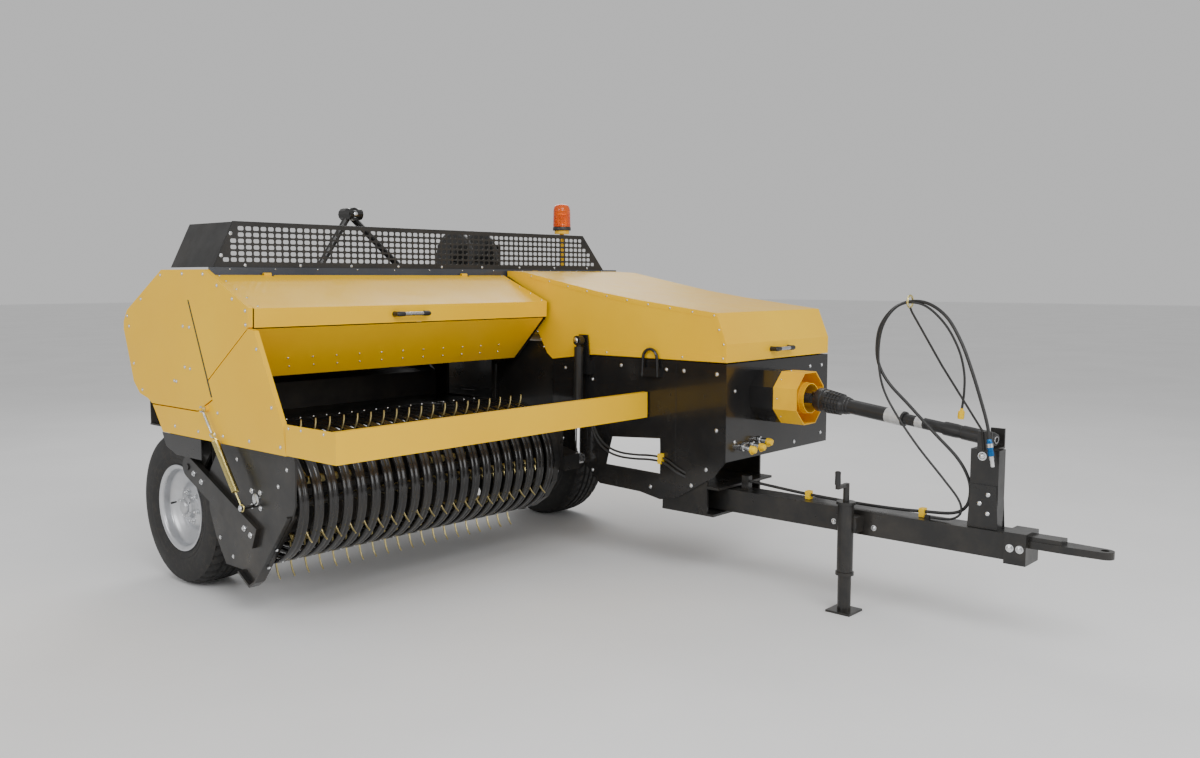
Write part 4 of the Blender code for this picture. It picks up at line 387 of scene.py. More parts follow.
BRIGHT = paint("bright_yellow_plastic", (0.95, 0.62, 0.0), (0.86, 0.52, 0.0), (0.34, 0.46), cloud=20.0)
LABEL = paint("silver_film", (0.68, 0.68, 0.67), (0.52, 0.52, 0.52), (0.3, 0.5), metallic=0.4, cloud=40.0)


def lens_material():
    mat, nodes, links, shader = new_material("amber_lens")
    coords = nodes.new("ShaderNodeTexCoord").outputs["Object"]
    clouds = noise(nodes, links, coords, 14.0, 2.0)
    links.new(
        ramp(nodes, links, clouds, [(0.3, (0.80, 0.085, 0.003)), (0.7, (0.95, 0.17, 0.008))]),
        shader.inputs["Base Color"],
    )
    links.new(ramp(nodes, links, clouds, [(0.3, grey(0.10)), (0.7, grey(0.18))]), shader.inputs["Roughness"])
    shader.inputs["Transmission Weight"].default_value = 0.45
    shader.inputs["IOR"].default_value = 1.45
    return mat


LENS = lens_material()


# ------------------------------------------------------------ making pieces
class Kit:
    """Gathers shapes of one material on one body into one piece."""

    def __init__(self, name, mat, body, bevel=0.0):
        self.name, self.mat, self.body, self.bevel = name, mat, body, bevel
        self.bm = bmesh.new()

    def _add(self, verts, faces, smooth=False):
        made = [self.bm.verts.new(v) for v in verts]
        for face in faces:
            f = self.bm.faces.new([made[i] for i in face])
            f.smooth = smooth
        return made

    def box(self, lo, hi):
        x0, y0, z0 = lo
        x1, y1, z1 = hi
        pts = [P(x, y, z) for x in (x0, x1) for y in (y0, y1) for z in (z0, z1)]
        self._add(pts, [(0, 1, 3, 2), (4, 6, 7, 5), (0, 4, 5, 1), (2, 3, 7, 6), (1, 5, 7, 3), (0, 2, 6, 4)])

    def slab(self, outline, axis, lo, hi):
        def place(p, level):
            v = list(p)
            v.insert(axis, level)
            return P(*v)
        n = len(outline)
        area = sum(outline[i][0] * outline[(i + 1) % n][1] - outline[(i + 1) % n][0] * outline[i][1] for i in range(n))
        flip = (area > 0) == (axis != 1)
        pts = [place(p, lo) for p in outline] + [place(p, hi) for p in outline]
        faces = [tuple(range(n))[::-1], tuple(range(n, 2 * n))]
        faces += [(i, (i + 1) % n, n + (i + 1) % n, n + i) for i in range(n)]
        if not flip:
            faces = [f[::-1] for f in faces]
        self._add(pts, faces)

    def tube(self, points, radius, sides=10, closed=False, taper=None):
        path = [Vector(p) for p in points]
        n = len(path)
        rings, across = [], None
        for i, here in enumerate(path):
            a = path[(i - 1) % n] if closed else path[max(i - 1, 0)]
            b = path[(i + 1) % n] if closed else path[min(i + 1, n - 1)]
            along = (b - a).normalized()
            if across is None:
                helper = Vector((1, 0, 0)) if abs(along.x) < 0.9 else Vector((0, 1, 0))
                across = along.cross(helper).normalized()
            across = (across - along * across.dot(along)).normalized()
            other = along.cross(across)
            r = radius if taper is None else taper[i]
            rings.append([here + (across * math.cos(t) + other * math.sin(t)) * r for t in [2 * math.pi * k / sides for k in range(sides)]])
        verts = [v for ring in rings for v in ring]
        faces = []
        for i in range(n if closed else n - 1):
            j = (i + 1) % n
            for k in range(sides):
                m = (k + 1) % sides
                faces.append((i * sides + k, i * sides + m, j * sides + m, j * sides + k))
        made = self._add(verts, faces, True)
        if not closed:
            self.bm.faces.new(made[:sides][::-1])
            self.bm.faces.new(made[-sides:])

    def rod(self, a, b, radius, sides=20, end=None):
        a, b = P(*a), P(*b)
        self.spun([(0, 0), (0, radius), ((b - a).length, radius if end is None else end), ((b - a).length, 0)], a, b - a, sides)

    def spun(self, profile, origin, axis, sides=32):
        """A profile of (along, radius) turned about an axis; smooth except at sharp corners."""
        axis = Vector(axis).normalized()
        helper = Vector((0, 0, 1)) if abs(axis.z) < 0.9 else Vector((0, 1, 0))
        u = axis.cross(helper).normalized()
        w = axis.cross(u)
        rings = []
        for along, radius in profile:
            centre = Vector(origin) + axis * along
            if radius <= 1e-6:
                rings.append([self.bm.verts.new(centre)])
            else:
                rings.append([self.bm.verts.new(centre + (u * math.cos(t) + w * math.sin(t)) * radius) for t in [2 * math.pi * k / sides for k in range(sides)]])
        for first, second in zip(rings, rings[1:]):
            for k in range(sides):
                m = (k + 1) % sides
                corners = [
                    first[k % len(first)], first[m % len(first)], second[m % len(second)],
                    second[k % len(second)],
                ]
                face = []
                for c in corners:
                    if c not in face:
                        face.append(c)
                if len(face) > 2:
                    try:
                        f = self.bm.faces.new(face[::-1])
                        f.smooth = True
                    except ValueError:
                        pass

    def bolt(self, place, normal, size=0.007, washer=True):
        """A round-headed bolt on its washer."""
        n = Vector(normal).normalized()
        p = P(*place)
        s = size
        profile = [(-0.001, 0)]
        if washer:
            profile += [(-0.001, s * 1.45), (s * 0.22, s * 1.45), (s * 0.24, s * 1.02)]
        else:
            profile += [(-0.001, s)]
        profile += [(s * 0.45, s), (s * 0.75, s * 0.78), (s * 0.9, s * 0.4), (s * 0.95, 0)]
        self.spun(profile, p, n, 12)

    def hexnut(self, place, normal, size=0.010, height=0.008, washer=True):
        n = Vector(normal).normalized()
        p = P(*place)
        if washer:
            self.spun([(-0.001, 0), (-0.001, size * 1.5), (0.002, size * 1.5), (0.002, 0)], p, n, 16)
        self.spun(
            [
                (0.001, 0), (0.001, size), (height, size), (height + size * 0.12, size * 0.82),
                (height + size * 0.12, 0),
            ],
            p, n, 6,
        )

    def done(self, replaces=(), slot=None):
        bmesh.ops.remove_doubles(self.bm, verts=self.bm.verts, dist=1e-6)
        bmesh.ops.recalc_face_normals(self.bm, faces=self.bm.faces)
        mesh = bpy.data.meshes.new(self.name)
        self.bm.to_mesh(mesh)
        self.bm.free()
        mesh.set_sharp_from_angle(angle=math.radians(38))
        mesh.materials.append(self.mat)
        obj = bpy.data.objects.new(self.name, mesh)
        bpy.context.scene.collection.objects.link(obj)
        if self.bevel:
            soften(obj, self.bevel)
        if self.body:
            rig.ride(obj, self.body)
        if replaces:
            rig.replaces(obj, *replaces)
        if slot:
            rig.slot(obj, slot)
        return obj


def soften(obj, width):
    step = obj.modifiers.new("edges", "BEVEL")
    step.width = width
    step.segments = 2
    step.limit_method = "ANGLE"
    step.angle_limit = math.radians(40)
    step.harden_normals = True
    return step


def coat(node, mat, bevel=0.0):
    """A CAD node that keeps its shape takes a finished material and softened edges."""
    obj = frame["nodes"][node]
    obj.data.materials.clear()
    obj.data.materials.append(mat)
    if bevel:
        soften(obj, bevel)
    return obj


def smooth_route(points, spacing):
    fine, last = [], len(points) - 1
    pts = [Vector(p) for p in points]
    for i in range(last):
        p0 = pts[i - 1] if i > 0 else pts[0] * 2 - pts[1]
        p1, p2 = pts[i], pts[i + 1]
        p3 = pts[i + 2] if i + 2 <= last else pts[last] * 2 - pts[last - 1]
        for k in range(12):
            t = k / 12
            fine.append((p1 * 2 + (p2 - p0) * t + (p0 * 2 - p1 * 5 + p2 * 4 - p3) * t * t + (p1 * 3 - p0 - p2 * 3 + p3) * t ** 3) / 2)
    fine.append(pts[last])
    lengths = [0.0]
    for a, b in zip(fine, fine[1:]):
        lengths.append(lengths[-1] + (b - a).length)
    count = max(2, round(lengths[-1] / spacing))
    even, k = [], 0
    for i in range(count + 1):
        target = lengths[-1] * i / count
        while k < len(fine) - 2 and lengths[k + 1] < target:
            k += 1
        even.append(fine[k].lerp(fine[k + 1], (target - lengths[k]) / (lengths[k + 1] - lengths[k])))
    return even, lengths[-1]


def hose_piece(
    name, mat, route, radius, body, node=None, far_end="fitting", with_pieces=(), stiffness="medium",
    lay="hanging",
):
    points, length = smooth_route([P(*p) for p in route], radius * 2.2)
    curve = bpy.data.curves.new(name, "CURVE")
    curve.dimensions = "3D"
    curve.bevel_depth = radius
    curve.bevel_resolution = 5
    curve.use_fill_caps = True
    spline = curve.splines.new("POLY")
    spline.points.add(len(points) - 1)
    for knot, point in zip(spline.points, points):
        knot.co = (*point, 1.0)
    spline.use_smooth = True
    curve.materials.append(mat)
    obj = bpy.data.objects.new(name, curve)
    bpy.context.scene.collection.objects.link(obj)
    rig.ride(obj, body)
    if node:
        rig.replaces(obj, node)
    total = sum((b - a).length for a, b in zip(points, points[1:]))
    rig.cord(
        obj, exit=tuple(points[0]), length=total, diameter=radius * 2, far_end=far_end,
        stiffness=stiffness, lay=lay, with_pieces=list(with_pieces),
    )
    return obj


# ------------------------------------------------------------ hoses first
HOSE_X = 1.99
plug = Kit("hose_coupling_body", BLUE, "drawbar")
end = P(HOSE_X - 0.073, -1.8101, 0.8393)
axis = Vector((0, -0.0114, -0.0688))
plug.spun(
    [
        (0.0, 0), (0.0, 0.0085), (0.004, 0.0105), (0.012, 0.0105), (0.013, 0.0125), (0.040, 0.0128),
        (0.042, 0.0112), (0.050, 0.0112), (0.051, 0.0128), (0.068, 0.0128), (0.0705, 0.0105), (0.0705, 0),
    ],
    end, axis, 24,
)
plug_piece = plug.done(["hose_coupling"], "blue")
cap = Kit("hose_coupling_collar", ZINC, "drawbar")
cap.spun(
    [
        (0.070, 0), (0.070, 0.0098), (0.085, 0.0098), (0.087, 0.0085), (0.112, 0.0085), (0.115, 0.007),
        (0.115, 0),
    ],
    end, axis, 20,
)
cap.spun([(0.018, 0.0129), (0.018, 0.0134), (0.034, 0.0134), (0.034, 0.0129)], end, axis, 24)
cap_piece = cap.done()
hose_route = [
    (HOSE_X, -0.6015, 0.499), (HOSE_X, -0.700, 0.492), (HOSE_X, -0.931, 0.478), (HOSE_X, -1.200, 0.472),
    (HOSE_X, -1.380, 0.474), (HOSE_X, -1.500, 0.4805), (HOSE_X, -1.630, 0.492), (HOSE_X, -1.689, 0.524),
    (HOSE_X, -1.709, 0.585), (HOSE_X, -1.698, 0.655), (HOSE_X, -1.647, 0.735), (HOSE_X, -1.541, 0.832),
    (HOSE_X, -1.422, 0.943), (HOSE_X, -1.325, 1.033), (HOSE_X, -1.274, 1.115), (HOSE_X, -1.262, 1.200),
    (HOSE_X, -1.279, 1.290), (HOSE_X, -1.339, 1.366), (HOSE_X, -1.418, 1.397),
    (HOSE_X - 0.015, -1.508, 1.388), (HOSE_X - 0.034, -1.598, 1.333), (HOSE_X - 0.050, -1.670, 1.232),
    (HOSE_X - 0.060, -1.722, 1.119), (HOSE_X - 0.068, -1.768, 0.998), (HOSE_X - 0.072, -1.800, 0.900),
    (HOSE_X - 0.073, -1.810, 0.840),
]
hose_piece(
    "drawbar_hydraulic_hose", RUBBER, hose_route, 0.007, "drawbar", "hydraulic_hose", "fitting",
    [plug_piece, cap_piece],
)
CABLE_X = HOSE_X - 0.016
cable_route = [(CABLE_X, y, z) for y, z in (
    (-1.5410, 0.4625), (-1.630, 0.468), (-1.676, 0.500), (-1.667, 0.556), (-1.595, 0.640), (-1.482, 0.760), (-1.385, 0.880),
    (-1.315, 0.990), (-1.285, 1.090), (-1.280, 1.201), (-1.300, 1.295), (-1.352, 1.366), (-1.418, 1.393), (-1.500, 1.375),
    (-1.585, 1.300), (-1.645, 1.200), (-1.672, 1.105), (-1.675, 1.020), (-1.668, 0.951))]
tip = P(CABLE_X, -1.668, 0.951)
down = Vector((0, 0.007, -0.069))
light_plug = Kit("light_plug", BRIGHT, "drawbar")
light_plug.spun(
    [
        (0.0, 0), (0.0, 0.006), (0.010, 0.0085), (0.014, 0.0135), (0.040, 0.0140), (0.042, 0.0125),
        (0.046, 0.0125), (0.046, 0),
    ],
    tip, down, 20,
)
light_plug_piece = light_plug.done()
hose_piece(
    "drawbar_light_cable", RUBBER, cable_route, 0.005, "drawbar", "light_cable", "plug",
    [light_plug_piece],
)


# ------------------------------------------------------------ floor and light
floor_mesh = bpy.data.meshes.new("floor")
floor_mesh.from_pydata([(-60, -60, 0), (60, -60, 0), (60, 60, 0), (-60, 60, 0)], [], [(0, 1, 2, 3)])
floor = bpy.data.objects.new("floor", floor_mesh)
bpy.context.scene.collection.objects.link(floor)
floor_mat, fn, fl, fs = new_material("pale_floor")
floor_coords = fn.new("ShaderNodeTexCoord").outputs["Object"]
fl.new(
    ramp(fn, fl, noise(fn, fl, floor_coords, 0.8, 4.0), [(0.3, grey(0.80)), (0.7, grey(0.85))]),
    fs.inputs["Base Color"],
)
fs.inputs["Roughness"].default_value = 0.75
floor_mesh.materials.append(floor_mat)
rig.stage(floor)

world = bpy.data.worlds.new("studio")
bpy.context.scene.world = world
world.use_nodes = True
world.node_tree.nodes["Background"].inputs["Color"].default_value = (1.0, 1.0, 1.0, 1.0)
world.node_tree.nodes["Background"].inputs["Strength"].default_value = 0.62


def area_light(name, place, target, size, power, colour=(1, 1, 1)):
    data = bpy.data.lights.new(name, "AREA")
    data.shape = "RECTANGLE"
    data.size, data.size_y = size
    data.energy = power
    data.color = colour
    light = bpy.data.objects.new(name, data)
    bpy.context.scene.collection.objects.link(light)
    light.location = P(*place)
    light.rotation_euler = (P(*target) - P(*place)).to_track_quat("-Z", "Y").to_euler()


area_light("key", (-1.5, -5.0, 5.5), (1.4, 0.2, 0.8), (4.5, 3.0), 300)
area_light("side", (-5.5, 1.0, 3.2), (0.0, 1.0, 0.8), (3.5, 2.5), 110)
area_light("rim", (5.5, 4.5, 5.0), (1.6, 0.8, 1.0), (4.0, 3.0), 170)
area_light("front", (2.2, -6.5, 2.2), (2.0, -0.6, 0.8), (3.5, 1.6), 70)


# ------------------------------------------------------------ wheels
def tyre_radius(x, angle):
    """The tread and sidewall of a farm implement tyre; x runs across from its middle."""
    half = 0.130
    t = abs(x) / half
    pts = [(0.0, 0.3795), (0.30, 0.3795), (0.55, 0.3782), (0.70, 0.3755), (0.80, 0.3700), (0.88, 0.360)]
    for (a, ra), (b, rb) in zip(pts, pts[1:]):
        if a <= t <= b:
            r = ra + (rb - ra) * (t - a) / (b - a)
            break
    else:
        r = pts[-1][1]
    groove = 0.0
    for centre in (0.021, 0.060):
        groove = max(groove, 1.0 - abs(abs(x) - centre) / 0.0062)
    turn = angle * 40 / (2 * math.pi) + x * 10.0
    if abs(x) > 0.060:
        place = turn % 1.0
        groove = max(groove, 1.0 - abs(place - 0.5) / 0.20)
    else:
        zig = (angle * 40 / (2 * math.pi) + math.copysign(0.25, x) + abs(x) * 6.0) % 1.0
        groove = max(groove, 0.6 - abs(zig - 0.5) / 0.10)
    depth = 0.011 * min(1.0, max(0.0, groove) * 2.2)
    if t > 0.86:
        depth *= max(0.0, (0.90 - t) / 0.04)
    return r - depth


def tyre_piece(name, centre, body, node):
    kit = Kit(name, TYRE, body)
    sides = 320
    section = []
    count = 40
    for i in range(count + 1):
        section.append((0.117 * (i / count * 2 - 1), None))
    wall = [
        (0.1225, 0.3455), (0.1262, 0.3300), (0.1287, 0.3120), (0.1298, 0.2960), (0.1296, 0.2810),
        (0.1282, 0.2700), (0.1290, 0.2665), (0.1286, 0.2630), (0.1262, 0.2560), (0.1240, 0.2480),
        (0.1255, 0.2450), (0.1248, 0.2420), (0.1215, 0.2320), (0.1160, 0.2210), (0.1140, 0.2150),
        (0.1060, 0.2140), (0.1040, 0.1990), (0.095, 0.1965),
    ]
    ring_points = [(x, r) for x, r in reversed([(-a, b) for a, b in wall])][::1]
    full = [(-a, b) for a, b in reversed(wall)] + section + wall
    verts, faces = [], []
    for k in range(sides):
        angle = 2 * math.pi * k / sides
        for x, r in full:
            radius = tyre_radius(x, angle) if r is None else r
            verts.append(
                P(
                    centre[0] + x, centre[1] + radius * math.cos(angle),
                    centre[2] + radius * math.sin(angle),
                )
            )
    n = len(full)
    for k in range(sides):
        m = (k + 1) % sides
        for i in range(n):
            j = (i + 1) % n
            faces.append((k * n + i, k * n + j, m * n + j, m * n + i))
    kit._add(verts, faces, True)
    return kit.done([node], "tyre")


def rim_piece(name, outer_x, y, body, node, facing):
    kit = Kit(name, SILVER, body)
    seat, flange, w = 0.1955, 0.2125, 0.24
    inner, well = 0.188, 0.1655
    well_in = well - 0.0075
    profile = [
        (0.012, 0.0), (0.012, 0.020), (0.0125, 0.024), (0.018, 0.032), (0.024, 0.036), (0.030, 0.0365),
        (0.034, 0.044), (0.036, 0.050), (0.052, 0.0555), (0.058, 0.060), (0.060, 0.070), (0.061, 0.084),
        (0.066, 0.096), (0.074, 0.108), (0.081, 0.118), (0.083, 0.126), (0.081, 0.136), (0.076, 0.148),
        (0.068, well_in - 0.0005), (0.064, well_in + 0.008), (0.052, inner - 0.006),
        (0.046, inner - 0.001), (0.040, inner), (0.016, inner), (0.008, inner + 0.003),
        (0.004, inner + 0.009), (0.0015, flange - 0.008), (0.0, flange - 0.004), (0.001, flange),
        (0.005, flange + 0.001), (0.008, flange - 0.001), (0.0095, flange - 0.006), (0.011, seat + 0.004),
        (0.016, seat), (0.050, seat), (0.066, well), (w - 0.066, well), (w - 0.050, seat),
        (w - 0.014, seat), (w - 0.0095, flange - 0.006), (w - 0.005, flange + 0.001), (w, flange - 0.003),
        (w - 0.004, flange - 0.010), (w - 0.012, inner), (w - 0.046, inner), (w - 0.062, well_in),
        (0.090, well_in), (0.095, 0.118), (0.070, 0.082), (0.070, 0.048), (w - 0.045, 0.048),
        (w - 0.045, 0.0262), (0.036, 0.0262), (0.036, 0.0),
    ]
    ax = Vector((facing, 0, 0))
    start = P(outer_x + 0.010 if facing > 0 else outer_x + 0.25, y, 0.38)
    kit.spun(profile, start, ax, 96)
    piece = kit.done([node], "galvanised")
    nuts = Kit(name + "_nuts", ZINC, body)
    for k in range(6):
        t = 2 * math.pi * (k + 0.25) / 6
        c = (start.x + OX, y + 0.0715 * math.cos(t), 0.38 + 0.0715 * math.sin(t))
        spot = (c[0] + facing * 0.060, c[1], c[2])
        nuts.hexnut(spot, (-facing, 0, 0), 0.0105, 0.013)
        nuts.spun(
            [(0.0, 0), (0.0, 0.006), (0.021, 0.006), (0.023, 0.004), (0.023, 0)], P(*spot),
            (-facing, 0, 0), 12,
        )
    for k in range(5):
        t = 2 * math.pi * k / 5
        spot = (start.x + OX + facing * 0.030, y + 0.0425 * math.cos(t), 0.38 + 0.0425 * math.sin(t))
        nuts.bolt(spot, (-facing, 0, 0), 0.0045, False)
    nuts.done()
    valve = Kit(name + "_valve", RUBBER, body)
    a = Vector((start.x + OX + facing * 0.058, y + 0.150, 0.38))
    valve.rod(tuple(a), (a.x - facing * 0.018, y + 0.143, 0.38), 0.0045, 12)
    valve.rod((a.x - facing * 0.018, y + 0.143, 0.38), (a.x - facing * 0.030, y + 0.139, 0.38), 0.0055, 12)
    valve.done()
    return piece


LEFT_TYRE_X = 1.835 + 0.476 + 0.015
tyre_piece("right_tyre_tread", (0.195, 1.44, 0.38), "right_wheel", "right_tyre")
tyre_piece("left_tyre_tread", (LEFT_TYRE_X + 0.13, 1.25, 0.38), "left_wheel", "left_tyre")
rim_piece("right_wheel_rim", 0.065, 1.44, "right_wheel", "right_rim", 1)
rim_piece("left_wheel_rim", LEFT_TYRE_X, 1.25, "left_wheel", "left_rim", -1)

# ------------------------------------------------------------ pickup
RY, RZ = 0.65, 0.54
bands = Kit("pickup_bands", BLACK, "pickup")
section = [
    (-0.0250, -0.0115), (-0.0248, -0.0060), (-0.0225, -0.0022), (-0.0170, -0.0004), (-0.0060, 0.0),
    (-0.0035, -0.0018), (0.0035, -0.0018), (0.0060, 0.0), (0.0170, -0.0004), (0.0225, -0.0022),
    (0.0248, -0.0060), (0.0250, -0.0115),
]
inner_section = [(x * 0.93, d - 0.0028) for x, d in reversed(section)]
loop = section + inner_section
path = []
for i in range(5):
    path.append((0.985 - (0.985 - RY) * i / 5, RZ + 0.29, 0.0, 1.0))
for i in range(41):
    t = math.radians(90 + 180 * i / 40)
    path.append((RY + 0.29 * math.cos(t), RZ + 0.29 * math.sin(t), math.cos(t), math.sin(t)))
for i in range(1, 6):
    path.append((RY + (0.985 - RY) * i / 5, RZ - 0.29, 0.0, -1.0))
for b in range(21):
    cx = 0.122 + 0.074 * (b - 0.5)
    verts = [P(cx + x, y + ny * d, z + nz * d) for y, z, ny, nz in path for x, d in loop]
    n = len(loop)
    faces = []
    for i in range(len(path) - 1):
        for k in range(n):
            m = (k + 1) % n
            faces.append((i * n + k, i * n + m, (i + 1) * n + m, (i + 1) * n + k))
    made = bands._add(verts, faces, True)
    bands.bm.faces.new(made[:n])
    bands.bm.faces.new(made[-n:][::-1])
bands.box((0.0383, 0.935, 0.806), (1.5935, 0.983, 0.8285))
bands.box((0.0383, 0.935, 0.2515), (1.5935, 0.983, 0.274))
bands.done(["stripper_bands"], "black")
band_bolts = Kit("pickup_band_bolts", ZINC, "pickup")
for b in range(21):
    cx = 0.122 + 0.074 * (b - 0.5)
    for t in (112, 248):
        a = math.radians(t)
        band_bolts.bolt(
            (cx, RY + 0.2885 * math.cos(a), RZ + 0.2885 * math.sin(a)), (0, math.cos(a), math.sin(a)),
            0.0042, False,
        )
    band_bolts.bolt((cx, 0.960, 0.8295), (0, 0, 1), 0.005, False)
    band_bolts.bolt((cx, 0.960, 0.2505), (0, 0, -1), 0.005, False)
band_bolts.done()

reel = Kit("pickup_reel_frame", CHASSIS, "reel")
x0, x1 = 0.0405, 1.6275
reel.rod((x0, RY, RZ), (x1, RY, RZ), 0.020, 28)
last_x = 0.122 + 0.074 * 19
for sx in (0.092, (0.122 + last_x) / 2, last_x + 0.03):
    start = P(sx - 0.004, RY, RZ)
    reel.spun(
        [(0, 0), (0, 0.040), (0, 0.195), (0.001, 0.203), (0.007, 0.203), (0.008, 0.195), (0.008, 0)],
        start, (1, 0, 0), 48,
    )
    reel.spun(
        [(-0.018, 0), (-0.018, 0.034), (-0.016, 0.038), (0.024, 0.038), (0.026, 0.034), (0.026, 0)],
        start, (1, 0, 0), 28,
    )
tines = Kit("pickup_tines", TINE, "reel")
coils = Kit("pickup_tine_coils", TINE, "reel")
for bar in range(4):
    deg = 90.0 * bar + 92.0
    ca, sa = math.cos(math.radians(deg)), math.sin(math.radians(deg))
    by, bz = RY + 0.20 * ca, RZ + 0.20 * sa
    reel.rod((0.077, by, bz), (last_x + 0.045, by, bz), 0.0145, 20)
    lean = math.radians((44.0, 72.0, 0.0, 40.0)[bar])
    for i in range(20):
        cx = 0.122 + 0.074 * i
        pts = []
        for out, across in ((0.0145, 0.0), (0.050, 0.0), (0.085, 0.0), (0.115, -0.004), (0.138, -0.012), (0.155, -0.022), (0.1690, -0.0355)):
            u, v = math.radians(deg) + lean, math.radians(deg) + lean + math.pi / 2
            pts.append(
                P(
                    cx, by + out * math.cos(u) + across * math.cos(v),
                    bz + out * math.sin(u) + across * math.sin(v),
                )
            )
        tines.tube(pts, 0.0044, 8, taper=[0.0044] * 5 + [0.0042, 0.0034])
        turns = []
        for k in range(31):
            t = 2 * math.pi * k / 10
            turns.append(
                P(cx - 0.0115 + 0.023 * k / 30, by + 0.0185 * math.cos(t), bz + 0.0185 * math.sin(t))
            )
        coils.tube(turns, 0.0034, 6)
reel.done(["pickup_reel"], "tine_steel")
tines.done()
coils.done()

side_bolts = Kit("pickup_side_bolts", ZINC, "pickup")
for y, z in ((0.40, 0.70), (0.80, 0.70), (0.93, 0.68), (0.47, 0.62), (0.86, 0.25), (0.97, 0.32)):
    side_bolts.bolt((0.030, y, z), (-1, 0, 0), 0.0065)
for t in (0.10, 0.22, 0.86, 0.95):
    y, z = 1.21 + (0.64 - 1.21) * t, 0.62 + (0.37 - 0.62) * t
    side_bolts.hexnut((0.008, y, z), (-1, 0, 0), 0.009, 0.008)
side_bolts.hexnut((SPRING := -0.033, 0.675, 0.507), (-1, 0, 0), 0.009, 0.006)
side_bolts.spun(
    [(0, 0), (0, 0.026), (0.005, 0.026), (0.007, 0.022), (0.007, 0)], P(0.030, RY, RZ), (-1, 0, 0), 28,
)
for k in range(4):
    t = math.radians(45 + 90 * k)
    side_bolts.hexnut((0.030, RY + 0.048 * math.cos(t), RZ + 0.048 * math.sin(t)), (-1, 0, 0), 0.008, 0.007)
for y, z in ((0.50, 0.34), (0.57, 0.25)):
    side_bolts.bolt((0.034, y, z), (0, -0.77, -0.64), 0.006)
side_bolts.done()
upper = Kit("pickup_side_upper", CHASSIS, "pickup", 0.001)
upper.slab(
    [(0.342, 0.730), (0.342, 0.786), (0.360, 0.800), (0.975, 0.800), (0.975, 0.722)], 0, 0.0305, 0.0375,
)
upper.done()
# Painted shade: a dark sheet behind the reel that darkens the space between the bands, where there is only shade.
shade_sheet = Kit("pickup_painted_shade_sheet", INNER_BLACK_AND_SHADE, "pickup", 0.0008)
shade_sheet.box((0.0385, 1.0315, 0.560), (0.340, 1.0345, 0.735))
shade_sheet.box((0.3403, 1.0315, 0.225), (1.6275, 1.0345, 0.735))
shade_sheet.done()
coat("pickup_right_side", CHASSIS, 0.0012)
coat("pickup_left_side", CHASSIS, 0.0012)

# ------------------------------------------------------------ float spring
TOP, LOW = Vector((-0.024, 0.992, 0.912)), Vector((-0.024, 0.675, 0.507))
line = (LOW - TOP).normalized()
total = (LOW - TOP).length
cross = Vector((1, 0, 0)).cross(line).normalized()
spring = Kit("float_spring_coil", GOLD, "spring")


def on_line(distance, out=0.0, turn=0.0, base=TOP):
    p = base + line * distance + (Vector((1, 0, 0)) * math.cos(turn) + cross * math.sin(turn)) * out
    return P(*p)


steps = 46 * 14
coil_points = [on_line(0.170 + 0.262 * k / steps, 0.0142, 2 * math.pi * 46 * k / steps) for k in range(steps + 1)]
spring.tube(coil_points, 0.0026, 6)
hook_loop = [on_line(0.170 - 0.020 * k / 6, 0.0142 * (1 - k / 6), 0) for k in range(7)]
spring.tube(hook_loop, 0.0026, 8)
spring.tube([on_line(0.150 - 0.010 + 0.012 * math.cos(t), 0.011 * math.sin(t), math.pi / 2) for t in [2 * math.pi * k / 16 for k in range(16)]], 0.0026, 8, closed=True)
spring.done(["float_spring"], "zinc_gold")
rod_kit = Kit("float_spring_rod", ZINC, "spring")
rod_kit.tube([on_line(0.018), on_line(0.050), on_line(0.090), on_line(0.128)], 0.0058, 12)
rod_kit.tube([on_line(0.139 + 0.013 * math.cos(t), 0.012 * math.sin(t), 0) for t in [2 * math.pi * k / 16 for k in range(16)]], 0.0034, 8, closed=True)
rod_kit.spun(
    [(0.0, 0.0079), (0.0, 0.0155), (0.014, 0.0155), (0.014, 0.0079)], P(-0.031, 0.992, 0.912), (1, 0, 0),
    24,
)
for k in range(14):
    rod_kit.tube([on_line(0.030 + 0.0045 * k, 0.0066, t) for t in [2 * math.pi * j / 12 for j in range(12)]], 0.0009, 4, closed=True)
rod_kit.done()
hook = Kit("float_spring_hook", GOLD, "hook")
hook.tube([P(*(LOW - line * (0.013 + (total - 0.445) * k / 6))) for k in range(7)], 0.0045, 10)
hook.tube([P(*(LOW + (line * math.cos(t) + cross * math.sin(t)) * 0.0145)) for t in [math.radians(-165 + 330 * k / 22) for k in range(23)]], 0.0035, 10)
hook.done(["spring_hook"], "zinc_gold")

# ------------------------------------------------------------ end panels, hoods and guards
for node, mat, bevel in (
    ("right_end_cover", YELLOW, 0.0012), ("right_front_panel", YELLOW, 0.0012), ("hood_lower_panel", YELLOW, 0.0010), ("front_guard_bar", YELLOW, 0.0015),
    ("pickup_hood", YELLOW, 0.0010), ("chamber_hood", YELLOW, 0.0012), ("twine_box", YELLOW, 0.0015), ("twine_box_lid", YELLOW, 0.0015),
    ("pto_guard", SATIN_YELLOW, 0.0012), ("bale_chute", YELLOW, 0.0012), ("housing_front", BLACK, 0.0012), ("housing_right", BLACK, 0.0012),
    ("feeder_cover", INNER_BLACK_AND_SHADE, 0.0010), ("feeder_floor", CHASSIS, 0.0012), ("guard_strip", SLATE, 0.0012), ("bale_chamber", CHASSIS, 0.0015),
    ("axle", CHASSIS, 0.003), ("hitch_frame", CHASSIS, 0.0015), ("drawbar", CHASSIS, 0.002), ("jack_tube", CHASSIS, 0.0012), ("jack_leg", CHASSIS, 0.0012),
    ("shaft_post", CHASSIS, 0.0012), ("tension_frame", CHASSIS, 0.0015), ("needle_yoke", CHASSIS, 0.0012), ("feeder_linkage", CHASSIS, 0.0012),
    ("gearbox", CAST, 0.002), ("lift_cylinder", CHASSIS, 0.0012), ("lift_rod", CHROME, 0.0005), ("knotters", CHASSIS, 0.0012),
):
    coat(node, mat, bevel)

